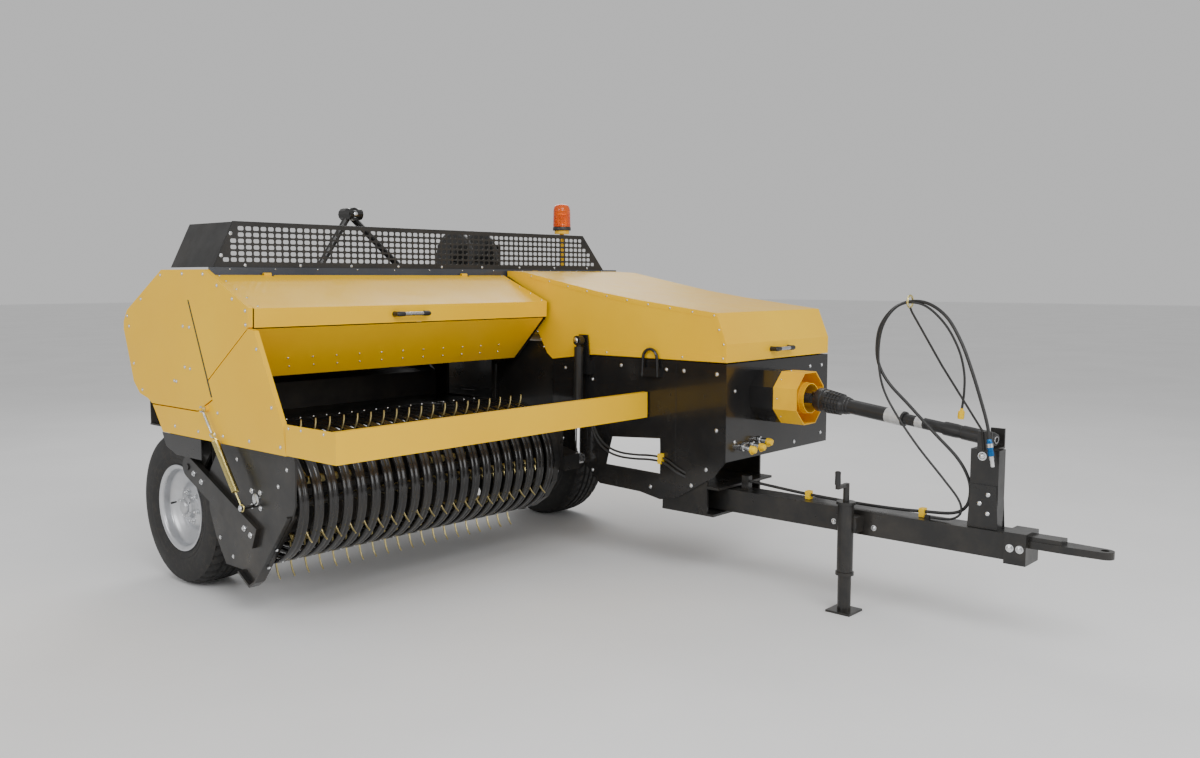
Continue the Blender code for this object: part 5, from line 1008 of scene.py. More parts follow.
panel_bolts = Kit("end_panel_bolts", ZINC, "chassis")
edge = [
    (1.752, 1.312), (1.600, 1.397), (1.390, 1.512), (1.180, 1.518), (0.990, 1.516), (0.870, 1.466),
    (0.745, 1.409), (0.640, 1.360), (0.640, 1.300), (1.130, 1.275), (1.190, 1.278), (1.135, 1.085),
    (1.185, 1.090), (1.290, 1.020), (1.270, 1.018), (1.735, 1.262), (1.700, 1.08), (1.62, 0.955),
]
for y, z in edge:
    panel_bolts.bolt((0.0, y, z), (-1, 0, 0), 0.0058)
for y, z in ((0.395, 0.800), (0.640, 0.800), (0.860, 0.800), (1.080, 0.800), (1.300, 0.805), (0.560, 1.200), (0.455, 0.960), (0.90, 0.90)):
    panel_bolts.bolt((0.0, y, z), (-1, 0, 0), 0.0058)
for y in (0.08, 0.24, 0.33):
    panel_bolts.bolt((0.0, y, 0.884), (-1, 0, 0), 0.0045)
panel_bolts.done()
# Painted shade: a flat dark strip on the end panel where a dark shade line falls.
shade_line_kit = Kit("end_panel_shade_line", INNER_BLACK_AND_SHADE, "chassis")
shade_line_kit.slab([(1.140, 1.400), (1.128, 1.398), (0.944, 0.968), (0.956, 0.966)], 0, -0.0006, 0.0005)
shade_line_kit.done()
fender = Kit("right_fender", BLACK, "chassis", 0.001)
fender.slab([(1.062, 0.764), (1.435, 0.764), (1.40, 0.700), (1.30, 0.668), (1.062, 0.668)], 0, 0.0005, 0.0035)
fender.done()

hood_bolts = Kit("pickup_hood_bolts", ZINC, "hood_over_pickup")
slope = Vector((0, 0.342, 0.142)).normalized()
normal = Vector((0, -slope.z, slope.y))
for x in (0.055, 1.775):
    for t in (0.05, 0.30, 0.55, 0.80, 0.97):
        hood_bolts.bolt((x, 0.616 + 0.342 * t, 1.370 + 0.142 * t), normal, 0.0048, False)
hood_bolts.done()
inner_bolts = Kit("lower_panel_bolts", ZINC, "chassis")
lower_normal = Vector((0, -0.229, -0.230)).normalized()
for k in range(12):
    x = 0.15 + 0.13 * k
    for t in (0.62, 0.80):
        inner_bolts.bolt((x + (0.03 if t > 0.7 else 0), 0.628 + 0.230 * t, 1.279 - 0.229 * t), (0, -0.705, -0.709), 0.0045, False)
inner_bolts.done()


def handle(name, body, a, b, out, grip=0.012):
    """A bow handle: black end castings and a silver grip between them."""
    a, b, out = Vector(a), Vector(b), Vector(out).normalized()
    along = (b - a).normalized()
    ends = Kit(name + "_ends", PLASTIC, body)
    for p, way in ((a, 1), (b, -1)):
        foot = [P(*(p + out * h)) for h in (0.0, 0.010, 0.020, 0.030)]
        ends.tube(foot, 0.011, 14, taper=[0.013, 0.012, 0.0115, 0.0115])
        ends.tube(
            [
                P(*(p + out * 0.030 - along * way * 0.010)), P(*(p + out * 0.032)),
                P(*(p + out * 0.033 + along * way * 0.012)), P(*(p + out * 0.033 + along * way * 0.034)),
            ],
            0.0115, 14, taper=[0.009, 0.0125, 0.0125, 0.0112],
        )
    ends.done()
    bar = Kit(name + "_grip", STEEL, body)
    bar.tube([P(*(a + out * 0.033 + along * 0.030)), P(*(b + out * 0.033 - along * 0.030))], 0.0095, 18)
    bar.done()


handle("pickup_hood_handle", "hood_over_pickup", (0.765, 0.6155, 1.328), (0.945, 0.6155, 1.328), (0, -1, 0))
handle("chamber_hood_handle", "hood_over_chamber", (2.215, -0.565, 1.142), (2.375, -0.565, 1.142), (0, -1, 0))

chamber_bolts = Kit("chamber_hood_bolts", ZINC, "hood_over_chamber")
ridge = [
    (-0.490, 1.318), (-0.36, 1.333), (-0.22, 1.349), (-0.08, 1.365), (0.06, 1.384), (0.20, 1.404),
    (0.34, 1.428), (0.48, 1.453), (0.62, 1.480), (0.76, 1.507),
]
for y, z in ridge:
    chamber_bolts.bolt((1.825, y, z), (-1, 0, 0), 0.0055)
for y, z in ((-0.545, 1.112), (-0.30, 1.108), (-0.05, 1.108), (0.20, 1.108), (0.42, 1.096), (-0.548, 1.180), (-0.520, 1.250)):
    chamber_bolts.bolt((1.825, y, z), (-1, 0, 0), 0.0055)
for t in (0.15, 0.5, 0.85):
    chamber_bolts.bolt((1.825, 0.655 + 0.07 * t, 1.10 + 0.12 * t), (-1, 0, 0), 0.0050)
chamber_bolts.done()
seam = Kit("chamber_hood_seams", YELLOW, "hood_over_chamber", 0.0008)
top_line = [(-0.565, 1.180), (-0.503, 1.330), (-0.025, 1.386), (0.248, 1.425), (0.540, 1.479), (0.812, 1.530)]
for (y0, z0), (y1, z1) in zip(top_line[1:], top_line[2:]):
    seam.slab([(y0, z0 - 0.026), (y1, z1 - 0.026), (y1, z1 - 0.0005), (y0, z0 - 0.0005)], 0, 1.8235, 1.8262)
seam.slab([(-0.563, 1.094), (0.300, 1.094), (0.300, 1.122), (-0.563, 1.122)], 0, 1.8235, 1.8262)
seam.slab(
    [
        (-0.564, 1.180), (-0.564, 1.123), (-0.540, 1.123), (-0.540, 1.185), (-0.484, 1.304),
        (-0.502, 1.328),
    ],
    0, 1.8237, 1.8262,
)
seam.done()

# The perforated guard, cell by cell, each with one slotted hole.
mesh_kit = Kit("mesh_guard_sheet", MESH_BLACK, "chassis")
z_low, z_high = 1.5473, 1.753
rows, pitch_z, pitch_x = 6, 0.0285, 0.0385
hole_w, hole_h, corner = 0.0150, 0.0095, 0.0060
base_z = z_low + 0.020
y_front, y_back = 0.976, 0.979


def slot_outline(cx, cz):
    pts = []
    for sx, sz, a0 in ((1, 1, 0), (-1, 1, 90), (-1, -1, 180), (1, -1, 270)):
        for k in range(3):
            a = math.radians(a0 + 45 * k)
            pts.append(
                (
                    cx + sx * (hole_w - corner) + corner * math.cos(a),
                    cz + sz * (hole_h - corner) + corner * math.sin(a),
                )
            )
    return pts


def sheet_quad(points):
    for y, flip in ((y_front, False), (y_back, True)):
        verts = [P(x, y, z) for x, z in points]
        mesh_kit._add(verts if not flip else verts[::-1], [tuple(range(len(points)))])


for row in range(rows):
    zc = base_z + pitch_z * (row + 0.5)
    left_edge = 0.045 + (0.146 - 0.045) * (zc + pitch_z / 2 - z_low) / (z_high - z_low) + 0.014
    right_edge = 2.671 - (2.671 - 2.485) * (zc + pitch_z / 2 - z_low) / (z_high - z_low) - 0.014
    count = int((right_edge - left_edge) / pitch_x)
    x_start = 1.358 - pitch_x * round((1.358 - left_edge) / pitch_x - 0.5)
    cells = [x_start + pitch_x * k for k in range(count + 2) if left_edge <= x_start + pitch_x * k and x_start + pitch_x * (k + 1) <= right_edge]
    z0, z1 = base_z + pitch_z * row, base_z + pitch_z * (row + 1)
    for x in cells:
        hole = slot_outline(x + pitch_x / 2, zc)
        corners = [(x + pitch_x, z1), (x, z1), (x, z0), (x + pitch_x, z0)]
        for y, flip in ((y_front, False), (y_back, True)):
            outer = [mesh_kit.bm.verts.new(P(cx, y, cz)) for cx, cz in corners]
            inner = [mesh_kit.bm.verts.new(P(hx, y, hz)) for hx, hz in hole]
            faces = []
            for q in range(4):
                mine = inner[q * 3:q * 3 + 3]
                faces.append([outer[q], mine[1], mine[0]])
                faces.append([outer[q], mine[2], mine[1]])
                nxt = inner[(q * 3 + 3) % 12]
                faces.append([outer[q], outer[(q + 1) % 4], nxt, mine[2]])
            for f in faces:
                mesh_kit.bm.faces.new(f[::-1] if flip else f)
        verts = [P(hx, y_front, hz) for hx, hz in hole] + [P(hx, y_back, hz) for hx, hz in hole]
        mesh_kit._add(verts, [(k, (k + 1) % 12, 12 + (k + 1) % 12, 12 + k) for k in range(12)], True)
    edge_left = lambda z: 0.045 + (0.146 - 0.045) * (z - z_low) / (z_high - z_low)
    edge_right = lambda z: 2.671 - (2.671 - 2.485) * (z - z_low) / (z_high - z_low)
    sheet_quad([(edge_left(z0), z0), (cells[0], z0), (cells[0], z1), (edge_left(z1), z1)])
    sheet_quad(
        [(cells[-1] + pitch_x, z0), (edge_right(z0), z0), (edge_right(z1), z1), (cells[-1] + pitch_x, z1)]
    )
top_z = base_z + pitch_z * rows
sheet_quad(
    [
        (edge_left(z_low), z_low), (edge_right(z_low), z_low), (edge_right(base_z), base_z),
        (edge_left(base_z), base_z),
    ]
)
sheet_quad(
    [
        (edge_left(top_z), top_z), (edge_right(top_z), top_z), (edge_right(z_high), z_high),
        (edge_left(z_high), z_high),
    ]
)
rim_line = [
    (edge_left(z_low), z_low), (edge_right(z_low), z_low), (edge_right(z_high), z_high),
    (edge_left(z_high), z_high),
]
verts = [P(x, y, z) for y in (y_front, y_back) for x, z in rim_line]
mesh_kit._add(verts, [(k, (k + 1) % 4, 4 + (k + 1) % 4, 4 + k) for k in range(4)])
mesh_kit.done(["mesh_guard"], "black")
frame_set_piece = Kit("mesh_guard_frame", MESH_BLACK, "chassis", 0.0008)
lean = [(0.045, z_low), (0.048, z_low), (0.149, z_high), (0.146, z_high)]
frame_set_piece.slab(lean, 1, 0.9795, 1.376)
for (xa, za), (xb, zb) in zip(rim_line, rim_line[1:] + rim_line[:1]):
    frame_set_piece.tube([P(xa, 0.9815, za), P(xb, 0.9815, zb)], 0.0034, 8)
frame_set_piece.done()
guard_bolts = Kit("mesh_guard_bolts", ZINC, "chassis")
for k in range(9):
    guard_bolts.bolt((0.20 + 0.29 * k, 0.976, z_low + 0.010), (0, -1, 0), 0.0048)
for z in (1.60, 1.70):
    guard_bolts.bolt((edge_left(z) + 0.012, 0.976, z), (0, -1, 0), 0.0055)
for k in range(12):
    guard_bolts.bolt((0.12 + 0.23 * k, 0.970, 1.5395 if k % 2 else 1.5385), (0, -1, 0), 0.0035, False)
guard_bolts.done()

# ------------------------------------------------------------ beacon
bx, by = 2.35, 0.9763 + 0.006 + 0.045
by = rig.box("beacon")[0].y + 0.055 + OY
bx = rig.box("beacon")[0].x + 0.055 + OX
base_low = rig.box("beacon")[0].z
lens = Kit("beacon_lens", LENS, "chassis")
rings = [(0.022, 0.0), (0.022, 0.0515), (0.028, 0.0535)]
for k in range(11):
    rings += [(0.030 + 0.0085 * k, 0.0540 - 0.0002 * k), (0.0345 + 0.0085 * k, 0.0522 - 0.0002 * k)]
rings += [(0.124, 0.0505), (0.140, 0.0470), (0.153, 0.0380), (0.1585, 0.0220), (0.1595, 0.0)]
lens.spun(rings, P(bx, by, base_low), (0, 0, 1), 48)
lens.done(["beacon"], "amber")
foot = Kit("beacon_foot", PLASTIC, "chassis")
foot.spun(
    [(0.0, 0), (0.0, 0.0540), (0.003, 0.0550), (0.018, 0.0550), (0.0215, 0.0525), (0.0215, 0)],
    P(bx, by, base_low), (0, 0, 1), 48,
)
foot.done()
lamp = Kit("beacon_reflector", CHROME, "chassis")
lamp.spun(
    [
        (0.024, 0), (0.024, 0.016), (0.050, 0.010), (0.072, 0.012), (0.092, 0.022), (0.095, 0.022),
        (0.098, 0.0),
    ],
    P(bx, by, base_low), (0, 0, 1), 28,
)
lamp.done()

# ------------------------------------------------------------ drive housing details
housing_bolts = Kit("housing_bolts", ZINC, "chassis")
for y, z in ((-0.51, 1.035), (-0.51, 0.760), (-0.20, 1.04), (-0.31, 1.04), (0.10, 1.045), (0.30, 0.960), (0.50, 1.01), (0.52, 0.62), (0.30, 0.47), (-0.10, 0.43), (-0.36, 0.47), (-0.45, 0.56)):
    housing_bolts.bolt((1.825, y, z), (-1, 0, 0), 0.0075)
for x, z in ((1.90, 0.95), (1.90, 0.70), (2.60, 1.03), (2.72, 0.66), (2.45, 0.64), (2.72, 1.03)):
    housing_bolts.bolt((x, -0.565, z), (0, -1, 0), 0.0070)
housing_bolts.done()
strips = Kit("housing_overlap", BLACK, "chassis", 0.0008)
strips.slab([(-0.262, 1.078), (-0.262, 0.396), (-0.238, 0.390), (-0.238, 1.078)], 0, 1.8235, 1.8258)
strips.slab([(-0.255, 1.078), (-0.255, 1.070), (0.200, 1.070), (0.200, 1.078)], 0, 1.8236, 1.8257)
strips.done()
rim_hole = Kit("see_through_edge", BLACK, "chassis")
opening = [(0.163, 0.666), (-0.161, 0.688), (-0.162, 0.503), (0.205, 0.511)]
rim_hole.tube([P(1.827, y, z) for y, z in opening], 0.0030, 8, closed=True)
rim_hole.done()
caps = Kit("coupler_caps", BRIGHT, "chassis")
sockets = Kit("coupler_bodies", ZINC, "chassis")
for x, z in ((1.965, 0.668), (2.045, 0.672), (2.110, 0.690)):
    sockets.spun(
        [
            (0, 0), (0, 0.018), (0.012, 0.018), (0.014, 0.013), (0.040, 0.013), (0.042, 0.0155),
            (0.058, 0.0155), (0.058, 0),
        ],
        P(x, -0.565, z), (0.1, -1, -0.12), 24,
    )
    caps.spun(
        [(0.048, 0.0), (0.048, 0.0180), (0.070, 0.0185), (0.078, 0.015), (0.080, 0.0)], P(x, -0.565, z),
        (0.1, -1, -0.12), 24,
    )
    ring = []
    for k in range(18):
        t = 2 * math.pi * k / 18
        ring.append(
            P(
                x + 0.006 + 0.024 * math.cos(t), -0.628 - 0.006 * math.sin(t),
                z - 0.012 + 0.018 * math.sin(t),
            )
        )
    caps.tube(ring, 0.0028, 8, closed=True)
caps.done()
sockets.done()

cyl = Kit("lift_cylinder_fittings", ZINC, "cylinder_barrel")
cyl_top, cyl_low = Vector((1.777, 0.356, 1.167)), Vector((1.777, 0.365, 0.53))
cyl_line = (cyl_low - cyl_top).normalized()
at = lambda d: cyl_top + cyl_line * d
cyl.spun(
    [(0.0, 0.0165), (0.0, 0.0262), (0.022, 0.0262), (0.024, 0.0245), (0.024, 0.0165)], P(*at(0.372)),
    cyl_line, 32,
)
for z, x in ((0.838, 1.777), (0.818, 1.768)):
    cyl.rod((x, 0.342, z), (x, 0.318, z - 0.002), 0.0085, 6)
cyl.done()
pins = Kit("lift_cylinder_pins", ZINC, "chassis")
pins.spun(
    [(0.0, 0), (0.0, 0.016), (0.004, 0.0165), (0.006, 0.013), (0.006, 0)], P(1.753, 0.356, 1.167),
    (-1, 0, 0), 24,
)
pins.done()
low_pins = Kit("lift_rod_pins", ZINC, "pickup")
low_pins.spun(
    [(0.0, 0), (0.0, 0.0295), (0.004, 0.0300), (0.005, 0.0285), (0.005, 0)], P(1.7985, 0.365, 0.53),
    (1, 0, 0), 28,
)
low_pins.spun(
    [(0.0, 0.0), (0.0, 0.0295), (0.0035, 0.0295), (0.0035, 0.0)], P(1.7530, 0.365, 0.53), (1, 0, 0), 28,
)
low_pins.hexnut((1.8035, 0.365, 0.53), (1, 0, 0), 0.010, 0.008, False)
low_pins.done()

def bending_hose(name, route, radius, start, end):
    """A hose whose first part follows the cylinder and whose last part stays on the chassis."""
    points, length = smooth_route([P(*p) for p in route], radius * 2.2)
    kit = Kit(name, RUBBER, None)
    kit.tube(points, radius, 10)
    obj = kit.done()
    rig.blend(obj, "cylinder_barrel", "chassis", tuple(P(*start)), tuple(P(*end)))
    total = sum((b - a).length for a, b in zip(points, points[1:]))
    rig.cord(obj, exit=tuple(points[0]), length=total, diameter=radius * 2, far_end="object", stiffness="medium", lay="hanging", path=[tuple(p) for p in points])
    return obj


for shift, drop, name in ((0.0, 0.0, "lift_hose_upper"), (-0.009, -0.020, "lift_hose_lower")):
    bending_hose(
        name,
        [
            (1.777 + shift, 0.322, 0.838 + drop), (1.777 + shift, 0.296, 0.822 + drop),
            (1.778 + shift, 0.272, 0.782 + drop), (1.782 + shift, 0.254, 0.722 + drop),
            (1.790 + shift, 0.226, 0.660 + drop), (1.800 + shift, 0.170, 0.612 + drop),
            (1.807 + shift, 0.090, 0.590 + drop), (1.812 + shift, -0.010, 0.588 + drop),
            (1.814 + shift, -0.100, 0.594 + drop), (1.815 + shift, -0.176, 0.592 + drop),
            (1.815 + shift, -0.230, 0.575 + drop), (1.815 + shift, -0.280, 0.550 + drop),
            (1.826, -0.325, 0.527 + drop),
        ],
        0.0055, (1.777, 0.300, 0.80), (1.810, 0.05, 0.59),
    )
RING_Z = 1.397
ring_kit = Kit("hose_ring_wire", GOLD, "drawbar")
ring_kit.tube([P(HOSE_X - 0.008 + 0.026 * math.cos(t), -1.418, RING_Z + 0.026 * math.sin(t)) for t in [2 * math.pi * k / 28 for k in range(28)]], 0.0045, 10, closed=True)
ring_kit.done()
clip = Kit("hose_clips", BRIGHT, "chassis", 0.001)
clip.box((1.797, -0.188, 0.560), (1.825, -0.166, 0.612))
clip.done()
draw_clips = Kit("drawbar_hose_clips", BRIGHT, "drawbar", 0.0012)
for y in (-0.931, -1.500):
    draw_clips.box((HOSE_X - 0.0158, y - 0.0125, 0.4565), (HOSE_X + 0.0158, y + 0.0125, 0.4960))
draw_clips.done()

# ------------------------------------------------------------ drive shaft and its guard
PX, PZ, JY = 2.155, 0.915, -0.87
A = Vector((PX, JY, PZ))
B = Vector((2.02, -1.80, 0.8233))
shaft_line = (B - A).normalized()
cover = Kit("drive_shaft_guard", PLASTIC, "drive_shaft")
profile = [
    (0.100, 0), (0.100, 0.044), (0.018, 0.051), (0.014, 0.0535), (0.014, 0.0560), (0.020, 0.0580),
    (0.050, 0.0575), (0.052, 0.0545), (0.064, 0.0545),
]
for k in range(5):
    d = 0.070 + 0.017 * k
    profile += [
        (d, 0.0555 - 0.0015 * k), (d + 0.011, 0.0548 - 0.0015 * k), (d + 0.012, 0.0515 - 0.0015 * k),
        (d + 0.0165, 0.0510 - 0.0015 * k),
    ]
profile += [
    (0.160, 0.0450), (0.165, 0.0425), (0.180, 0.0425), (0.184, 0.0385), (0.196, 0.0385), (0.200, 0.0342),
    (0.500, 0.0338), (0.5005, 0.0285), (0.5005, 0.0272), (0.332, 0.0272), (0.332, 0),
]
cover.spun(profile, P(*A), shaft_line, 40)
for k in range(12):
    t = 2 * math.pi * k / 12
    u = shaft_line.cross(Vector((0, 0, 1))).normalized()
    w = shaft_line.cross(u)
    off = (u * math.cos(t) + w * math.sin(t))
    cover.tube(
        [P(*(A + shaft_line * 0.068 + off * 0.0550)), P(*(A + shaft_line * 0.150 + off * 0.0490))],
        0.0030, 6,
    )
cover.done(["pto_shaft"], "black")
forks = Kit("drive_shaft_joint", STEEL, "drive_shaft", 0.0012)
for z_low in (PZ - 0.034, PZ + 0.018):
    fork = [(PX + a, JY + b) for a, b in ((0.024, 0.010), (0.015, 0.022), (-0.015, 0.022), (-0.024, 0.010), (-0.034, -0.075), (0.022, -0.075))]
    forks.slab(fork, 2, z_low, z_low + 0.016)
forks.done()
bands_kit = Kit("drive_shaft_bands", LABEL, "drive_shaft")
for lo, hi in ((0.405, 0.490),):
    bands_kit.spun([(lo, 0.0341), (lo, 0.0345), (hi, 0.0345), (hi, 0.0341)], P(*A), shaft_line, 40)
bands_kit.done()
front = Kit("drive_shaft_front", PLASTIC, "front_shaft")
front.spun(
    [
        (0.380, 0), (0.380, 0.0255), (0.700, 0.0255), (0.702, 0.0300), (0.712, 0.0305), (0.760, 0.0305),
        (0.775, 0.0288), (0.790, 0.0288), (0.792, 0.0309), (0.900, 0.0309), (0.930, 0.0300),
        (0.944, 0.0260), (0.944, 0.0180), (0.900, 0.0170), (0.900, 0),
    ],
    P(*A), shaft_line, 36,
)
front.done(["pto_front_shaft"], "steel")
label = Kit("drive_shaft_front_band", LABEL, "front_shaft")
label.spun([(0.560, 0.0256), (0.560, 0.0260), (0.600, 0.0260), (0.600, 0.0256)], P(*A), shaft_line, 36)
label.done()
hub = Kit("drive_shaft_end", STEEL, "front_shaft")
hub.spun(
    [
        (0.9005, 0.0), (0.9005, 0.0165), (0.9455, 0.0165), (0.9470, 0.0150), (0.9470, 0.0120),
        (0.9100, 0.0115), (0.9100, 0),
    ],
    P(*A), shaft_line, 24,
)
hub.done()
bell = Kit("guard_bell_ribs", SATIN_YELLOW, "chassis")
rear_face = -0.565 - 0.135 - 0.0003
for k in range(3):
    bell.spun(
        [(0, 0.0752), (0, 0.0775), (0.004, 0.0775), (0.004, 0.0752)],
        P(PX, rear_face - 0.035 - 0.035 * k, PZ), (0, -1, 0), 40,
    )
bell.done()
guard_screws = Kit("guard_screws", ZINC, "chassis")
for k in range(8):
    t = math.radians(45 * k)
    n = Vector((math.cos(t), 0, math.sin(t)))
    guard_screws.bolt((PX + 0.1275 * n.x, rear_face - 0.022, PZ + 0.1275 * n.z), n, 0.0040, False)
guard_screws.done()

# ------------------------------------------------------------ drawbar, post and jack details
draw_bolts = Kit("drawbar_bolts", ZINC, "drawbar")
for y, z in ((-1.80, 0.520), (-1.765, 0.560), (-1.80, 0.600)):
    draw_bolts.bolt((1.955, y, z), (-1, 0, 0), 0.011)
draw_bolts.bolt((1.955, -1.77, 0.760), (-1, 0, 0), 0.013)
for y in (-1.91, -1.95):
    draw_bolts.hexnut((1.918, y, 0.40), (-1, 0, 0), 0.011, 0.009)
draw_bolts.bolt((1.9295, -1.10, 0.385), (-1, 0, 0), 0.009)
draw_bolts.bolt((1.9295, -1.30, 0.385), (-1, 0, 0), 0.009)
draw_bolts.done()
post_plates = Kit("post_plates", CHASSIS, "drawbar", 0.0012)
post_plates.slab([(-1.845, 0.4555), (-1.715, 0.4555), (-1.725, 0.640), (-1.835, 0.640)], 0, 1.9495, 1.9555)
post_plates.slab([(-1.845, 0.4555), (-1.715, 0.4555), (-1.725, 0.640), (-1.835, 0.640)], 0, 2.0245, 2.0305)
post_plates.done()
crank = Kit("jack_crank", CHASSIS, "drawbar")
JX, JYC = 1.855, -1.20
crank.spun([(0, 0.0362), (0, 0.0415), (0.014, 0.0415), (0.014, 0.0362)], P(JX, JYC, 0.170), (0, 0, 1), 32)
crank.spun([(0, 0.0362), (0, 0.0430), (0.012, 0.0430), (0.012, 0.0)], P(JX, JYC, 0.492), (0, 0, 1), 32)
crank.done()
grip = Kit("jack_grip", PLASTIC, "drawbar")
grip.spun(
    [
        (0.0, 0), (0.0, 0.0115), (0.006, 0.0135), (0.045, 0.0125), (0.058, 0.0135), (0.062, 0.010),
        (0.064, 0),
    ],
    P(JX - 0.078, JYC, 0.588), (0, 0, 1), 20,
)
grip.done()
pivot_cap = Kit("drawbar_pivot_cap", ZINC, "chassis")
pivot_cap.hexnut((1.99, -0.25, 0.499), (0, 0, 1), 0.022, 0.012)
pivot_cap.done()

# ------------------------------------------------------------ knotters, linkage, screws at the rear
knot = Kit("knotter_wheels", CAST, "chassis")
for x in (2.073 - 0.10, 2.073 + 0.10):
    start = P(x - 0.030, 1.56, 1.62)
    knot.spun(
        [
            (-0.001, 0.145), (-0.001, 0.1655), (0.004, 0.1665), (0.0145, 0.1665), (0.019, 0.1655),
            (0.019, 0.145),
        ],
        start, (1, 0, 0), 64,
    )
    for k in range(36):
        t = 2 * math.pi * k / 36
        c = Vector((0, math.cos(t), math.sin(t)))
        centre = P(x - 0.021, 1.56 + 0.130 * c.y, 1.62 + 0.130 * c.z)
        knot.spun([(-0.011, 0), (-0.011, 0.0040), (0.011, 0.0040), (0.011, 0)], centre, (1, 0, 0), 8)
    knot.tube(
        [
            P(x + 0.02, 1.60, 1.60), P(x + 0.03, 1.66, 1.55), P(x + 0.02, 1.70, 1.48),
            P(x + 0.01, 1.70, 1.42),
        ],
        0.008, 10,
    )
knot.done()
arms = Kit("linkage_pins", ZINC, "chassis")
for x, y, z in ((1.0, 1.248, 1.835), (0.81, 1.275, 1.56), (1.33, 1.275, 1.56)):
    arms.hexnut((x, y, z), (0, -1, 0), 0.013, 0.010)
arms.done()
springs = Kit("tension_springs", GOLD, "chassis")
cranks = Kit("tension_handles", PLASTIC, "chassis")
for x, outward in ((1.835 - 0.03, -1), (2.311 + 0.03, 1)):
    turns = 9
    points = []
    for k in range(turns * 14 + 1):
        t = 2 * math.pi * k / 14
        points.append(
            P(
                x + 0.0255 * math.cos(t), 2.34 + 0.0255 * math.sin(t),
                1.148 + 0.058 + 0.140 * k / (turns * 14),
            )
        )
    springs.tube(points, 0.0038, 8)
    cranks.spun(
        [
            (0, 0), (0, 0.0125), (0.008, 0.0145), (0.060, 0.0135), (0.078, 0.0145), (0.084, 0.010),
            (0.085, 0),
        ],
        P(x + outward * 0.10, 2.34, 1.148 + 0.255), (0, 0, 1), 20,
    )
springs.done()
cranks.done()

rear_bolts = Kit("chamber_bolts", ZINC, "chassis")
for k in range(10):
    y = 1.72 + 0.10 * k
    rear_bolts.bolt((1.835, y, 0.800), (-1, 0, 0), 0.0065)
    rear_bolts.bolt((2.311, y, 0.800), (1, 0, 0), 0.0065)
    rear_bolts.bolt((1.835, y, 1.120), (-1, 0, 0), 0.0065)
    rear_bolts.bolt((2.311, y, 1.120), (1, 0, 0), 0.0065)
for x in (1.86, 2.285):
    for y in (1.42, 1.46):
        rear_bolts.hexnut((x, y, 0.47), (0, -1 if y < 1.44 else 1, 0), 0.001, 0.001, False)
rear_bolts.done()
cover_plate = Kit("chamber_window_cover", CHASSIS, "chassis", 0.001)
cover_plate.box((2.3113, 1.700, 0.806), (2.3143, 2.285, 1.112))
cover_plate.done()
angles = Kit("chamber_angles", CHASSIS, "chassis", 0.001)
for x, way in ((1.835, -1), (2.311, 1)):
    for z in (0.776, 1.118):
        angles.box((min(x, x + way * 0.030), 1.66, z), (max(x, x + way * 0.030), 2.29, z + 0.006))
        angles.box((min(x, x + way * 0.030), 2.39, z), (max(x, x + way * 0.030), 2.58, z + 0.006))
angles.done()
chute_slots = Kit("chute_edges", YELLOW, "chute", 0.001)
for x in (1.8225, 2.3235):
    chute_slots.tube([P(x, 2.79, 0.874), P(x, 3.335, 0.813)], 0.0045, 10)
chute_slots.done()
twine_latch = Kit("twine_lid_latch", ZINC, "twine_lid", 0.0008)
twine_latch.box((2.7565, 1.32, 1.470), (2.7595, 1.38, 1.5105))
twine_latch.bolt((2.60, 1.35, 1.511), (0, 0, 1), 0.006)
twine_latch.done()


# ------------------------------------------------------------ left side details
left_bolts = Kit("left_side_bolts", ZINC, "chassis")
for y in (-0.54, -0.32, -0.10, 0.12, 0.34, 0.56, 0.775):
    left_bolts.bolt((2.784, y, 0.630), (1, 0, 0), 0.0058)
for y, z in ((-0.54, 1.040), (-0.30, 1.040), (-0.06, 1.040), (0.16, 1.040), (0.62, 1.005), (0.775, 1.005), (-0.54, 0.80), (0.775, 0.80)):
    left_bolts.bolt((2.784, y, z), (1, 0, 0), 0.0058)
for y in (1.04, 1.30, 1.56):
    for z in (0.835, 1.455):
        left_bolts.bolt((2.750, y, z), (1, 0, 0), 0.0058)
for z in (0.90, 1.15, 1.40):
    left_bolts.bolt((2.38, 1.600, z), (0, 1, 0), 0.0058)
    left_bolts.bolt((2.70, 1.600, z), (0, 1, 0), 0.0058)
left_bolts.done()
hood_left = Kit("chamber_hood_left_bolts", ZINC, "hood_over_chamber")
for y, z in ridge:
    hood_left.bolt((2.784, y, z), (1, 0, 0), 0.0055)
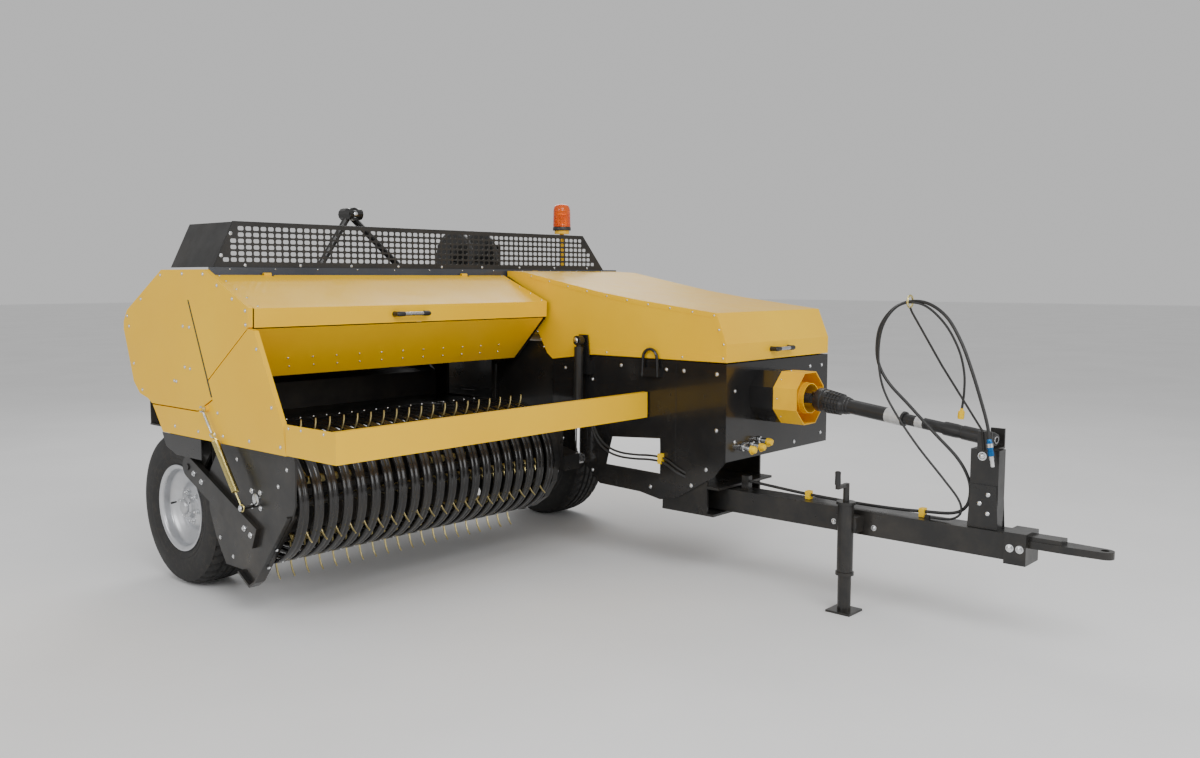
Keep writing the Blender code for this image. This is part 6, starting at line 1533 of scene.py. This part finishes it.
for y, z in ((-0.545, 1.112), (-0.30, 1.108), (-0.05, 1.108), (0.20, 1.108), (0.42, 1.096), (-0.548, 1.180), (-0.520, 1.250)):
    hood_left.bolt((2.784, y, z), (1, 0, 0), 0.0055)
hood_left.done()
door = Kit("left_inspection_door", BLACK, "chassis", 0.0015)
door.box((2.7842, -0.180, 0.665), (2.7868, 0.300, 0.930))
for y in (-0.120, 0.240):
    door.rod((2.7868, y - 0.035, 0.934), (2.7868, y + 0.035, 0.934), 0.0030, 12)
door.done()
knobs = Kit("left_door_knobs", PLASTIC, "chassis")
for y in (-0.110, 0.230):
    knobs.spun(
        [(0, 0), (0, 0.014), (0.0008, 0.0145), (0.0024, 0.013), (0.0028, 0)], P(2.7868, y, 0.690),
        (1, 0, 0), 24,
    )
knobs.done()
panel = Kit("twine_box_door", YELLOW, "chassis", 0.0015)
panel.box((2.7502, 1.060, 0.870), (2.7526, 1.540, 1.430))
panel.box((2.7526, 1.120, 0.960), (2.7538, 1.480, 0.985))
panel.box((2.7526, 1.120, 1.310), (2.7538, 1.480, 1.335))
panel.done()
hinges = Kit("twine_box_door_fittings", CHASSIS, "chassis", 0.0006)
for z in (0.940, 1.350):
    hinges.rod((2.7560, 1.058, z - 0.030), (2.7560, 1.058, z + 0.030), 0.0050, 14)
    hinges.box((2.7526, 1.060, z - 0.024), (2.7545, 1.100, z + 0.024))
hinges.box((2.7526, 1.500, 1.130), (2.7560, 1.530, 1.190))
hinges.rod((2.7560, 1.515, 1.160), (2.7660, 1.515, 1.160), 0.0080, 16)
hinges.box((2.7640, 1.445, 1.153), (2.7690, 1.522, 1.167))
hinges.done()
rear_lights = Kit("rear_reflectors", LENS, "chassis", 0.001)
rear_lights.spun(
    [(0, 0), (0, 0.036), (0.006, 0.036), (0.010, 0.032), (0.011, 0)], P(2.53, 1.6002, 0.95), (0, 1, 0),
    32,
)
rear_lights.done()

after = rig.bounds()
with open("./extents.json", "w") as out:
    json.dump({"cad": [list(v) for v in cad_box], "visual": [list(v) for v in after]}, out)
